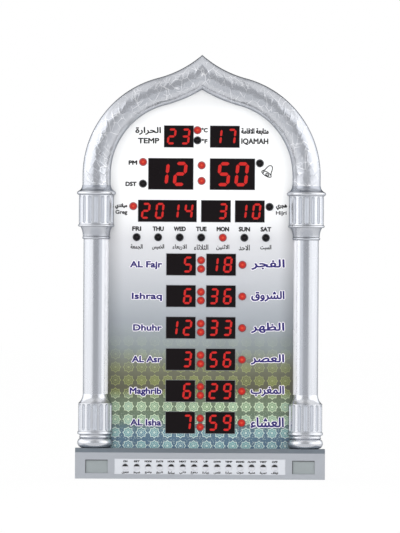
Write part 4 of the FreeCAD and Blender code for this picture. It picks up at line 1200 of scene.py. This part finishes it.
def make_floor():
    """Pale floor that stays white to the eye and keeps a faint shadow."""
    made, nodes = material("floor_white", Base_Color=(0.92, 0.92, 0.92, 1.0), Roughness=0.9)
    path = nodes.add("ShaderNodeLightPath")
    seen = nodes.most(path["Is Camera Ray"],
                      nodes.most(path["Is Glossy Ray"], path["Is Transmission Ray"]))
    glow = nodes.add("ShaderNodeEmission")[0]
    inputs = {0: nodes.times(seen, 0.95), 1: nodes.shader.outputs[0], 2: glow}
    nodes.feed(nodes.add("ShaderNodeMixShader", inputs)[0],
               made.node_tree.nodes["Material Output"].inputs["Surface"])
    mesh = bpy.data.meshes.new("floor")
    far = FLOOR_REACH
    mesh.from_pydata([(-far, -far, 0), (far, -far, 0), (far, far, 0), (-far, far, 0)], [], [(0, 1, 2, 3)])
    mesh.materials.append(made)
    floor = linked("floor", mesh)


SKY_LEVEL = 0.44
BOX_LEVEL = 1.85
REAR_LEVEL = 0.16
TOP_LEVEL = 1.0
FRONT_LEVEL = 0.64
FILL_POWER = 27.0
FILL_SIZE = 3.0
FILL_PLACE = Vector((0.0, -3.0, 1.5))
FILL_AIM = Vector((0.0, 0.0, 0.28))


def make_world():
    """Grey studio, a tall soft box on each side and a split one above; white behind the clock."""
    world = bpy.data.worlds.new("studio")
    world.use_nodes = True
    bpy.context.scene.world = world
    nodes = Nodes(world.node_tree)
    across, back, up = nodes.split(nodes.add("ShaderNodeTexCoord")["Generated"])
    side = nodes.size(across)
    height = nodes.size(up)
    level = SKY_LEVEL
    for zone_level, first, second in (
        # light of a zone, then the two parts of the direction by which it comes in
        (BOX_LEVEL, (side, 0.4, 0.5), (height, 0.72, 0.5)),
        (TOP_LEVEL, (up, 0.5, 0.78), (side, 0.1, 0.3)),
        (FRONT_LEVEL, (back, -0.3, -0.75), (side, 0.45, 0.25)),
        (REAR_LEVEL, (back, 0.5, 0.75), (height, 0.6, 0.4)),
    ):
        share = nodes.times(nodes.span(*first), nodes.span(*second))
        level = nodes.plus(level, nodes.times(share, zone_level - SKY_LEVEL))
    seen = nodes.add("ShaderNodeLightPath")["Is Camera Ray"]
    shown = nodes.add("ShaderNodeMix", {0: seen, 2: level, 3: 1.0}, data_type="FLOAT")[0]
    sky = world.node_tree.nodes["Background"].inputs
    sky["Color"].default_value = (1.0, 1.0, 1.0, 1.0)
    nodes.feed(shown, sky["Strength"])


def make_fill():
    """Broad soft light from the front that mirrors don't show."""
    data = bpy.data.lights.new("fill", "AREA")
    data.size = FILL_SIZE
    data.energy = FILL_POWER
    lamp = linked("fill", data)
    lamp.location = FILL_PLACE
    lamp.rotation_euler = (FILL_AIM - FILL_PLACE).to_track_quat("-Z", "Y").to_euler()
    lamp.visible_glossy = False


make_camera()
make_world()
make_fill()
make_floor()
dress_nodes()
make_arch()
make_columns()
make_displays()
make_all_lamps()
make_lettering()
make_plate_shadows()
make_bell()
bpy.context.scene.view_settings.view_transform = "Standard"
